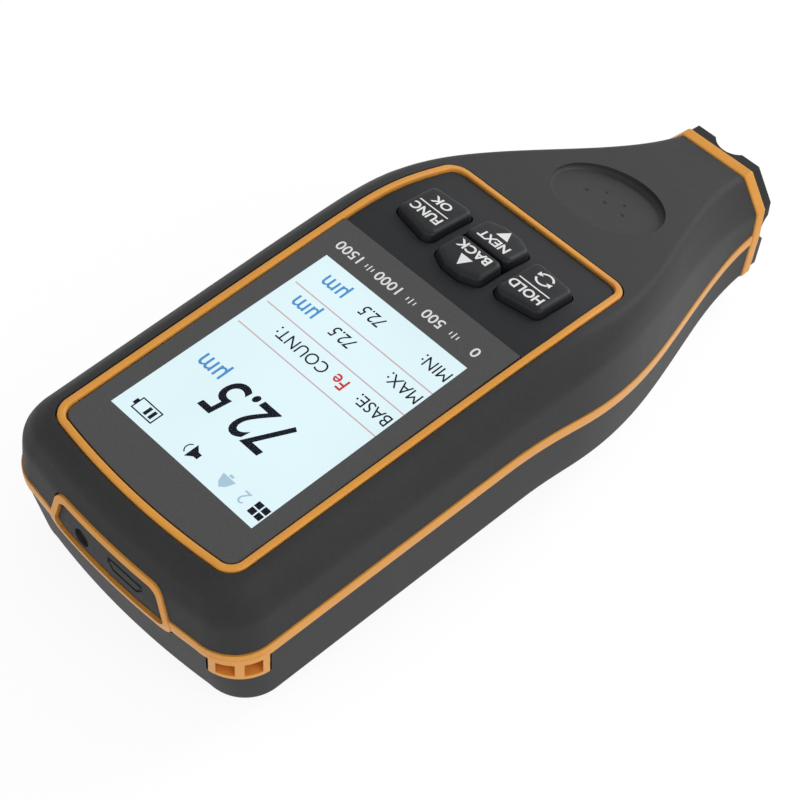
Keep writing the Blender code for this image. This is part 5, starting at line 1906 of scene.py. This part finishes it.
@dataclass
class Studio:
    """Camera, lamps, floor and background, with the camera solved in the panel frame."""

    turn: Place = (2.2878, 0.9848, -0.2832)
    eye: Place = (0.15963, -0.10714, 0.26986)
    lens: float = 92.96
    sensor: float = 36.0
    clip_start: float = 0.01
    lamp_aim: Place = (0.0, 0.0, 0.02)
    lamps: tuple[tuple[str, Place, float, float], ...] = (
        ("key_lamp", (0.10, 0.85, 0.62), 0.50, 4.2),
        ("fill_lamp", (0.75, -0.10, 0.55), 0.60, 2.4),
        ("foot_lamp", (0.10, -0.80, 0.35), 0.45, 0.7),
    )
    white: Colour = (1.0, 1.0, 1.0)
    world_light: float = 0.42
    floor_half: float = 2.0
    floor_colour: Colour = (0.90, 0.90, 0.90)
    floor_glow: float = 1.07
    floor_share: float = 0.84

    def camera(self) -> None:
        """Set the camera where the photograph was taken from."""
        turn = Vector(self.turn)
        look = Matrix.Rotation(turn.length, 3, turn.normalized()).transposed()
        columns = [look @ Vector(axis) for axis in ((1, 0, 0), (0, -1, 0), (0, 0, -1))]
        place = Matrix(columns).transposed().to_4x4()
        place.translation = self.eye
        data = bpy.data.cameras.new("camera")
        data.lens = self.lens
        data.sensor_width = self.sensor
        data.clip_start = self.clip_start
        made = new_object("camera", data)
        made.matrix_world = INTO_ROW @ place
        bpy.context.scene.camera = made

    def lamp(self, name: str, place: Place, size: float, power: float) -> None:
        """Hang one soft square lamp that faces the gauge.

        Args:
            name: Name of the lamp.
            place: Where it hangs.
            size: Length of its side.
            power: Its power in watts.
        """
        data = bpy.data.lights.new(name, "AREA")
        data.size = size
        data.energy = power
        made = new_object(name, data)
        made.location = place
        way = Vector(self.lamp_aim) - Vector(place)
        made.rotation_euler = way.to_track_quat("-Z", "Y").to_euler()

    def background(self) -> None:
        """Make the world: soft light, and white for camera, glossy and transmission rays."""
        world = bpy.data.worlds.new("studio")
        bpy.context.scene.world = world
        world.use_nodes = True
        graph = Graph(world.node_tree)
        path = graph.node("ShaderNodeLightPath").outputs
        seen = path["Is Camera Ray"]
        for ray in ("Is Glossy Ray", "Is Transmission Ray"):
            both = graph.node("ShaderNodeMath", {0: seen, 1: path[ray]}, operation="MAXIMUM")
            seen = both.outputs[0]
        strength = graph.node("ShaderNodeMix", {0: seen, 2: self.world_light, 3: 1.0}).outputs[0]
        sky = world.node_tree.nodes["Background"]
        graph.feed(sky.inputs["Color"], tone(self.white))
        graph.feed(sky.inputs["Strength"], strength)

    def floor(self) -> None:
        """Lay a pale floor that keeps the gauge's shadow."""
        half = self.floor_half
        corners = [(-half, -half, 0), (half, -half, 0), (half, half, 0), (-half, half, 0)]
        made = from_points("floor", corners, [(0, 1, 2, 3)])
        paint = Paint("floor_paper")
        paint.set(Base_Color=tone(self.floor_colour), Roughness=0.85)
        paint.bump(paint.noise(500.0, 3.0), 0.0002, 0.15)
        path = paint.node("ShaderNodeLightPath").outputs
        kinds = ("Camera", "Glossy", "Transmission")
        rays = [Sum(paint, path["Is %s Ray" % kind]) for kind in kinds]
        seen = (rays[0] + rays[1] + rays[2]).ease(0.0, 1.0) * self.floor_share
        glow = paint.node("ShaderNodeEmission", {0: tone(self.white), 1: self.floor_glow})
        both = {0: seen, 1: paint.shader.outputs[0], 2: glow.outputs[0]}
        mix = paint.node("ShaderNodeMixShader", both)
        output = paint.tree.nodes["Material Output"]
        paint.feed(output.inputs[0], mix.outputs[0])
        made.data.materials.append(paint.material)

    def build(self) -> None:
        """Set up the whole studio."""
        bpy.context.scene.view_settings.view_transform = "Standard"
        self.camera()
        self.background()
        self.floor()
        for lamp in self.lamps:
            self.lamp(*lamp)


def main() -> None:
    logging.basicConfig(level=logging.INFO, format="%(name)s: %(message)s")
    Studio().build()
    Skins().build()
    shells = Shells()
    shells.front()
    shells.rear()
    for assembly in (KeyTops, Copies, DisplayPicture, WindowPrint, Legends, CaseScrews):
        assembly().build()
    CopiedNode("probe_coil", Finish.COPPER, "probe").build()


if __name__ == "__main__":
    main()
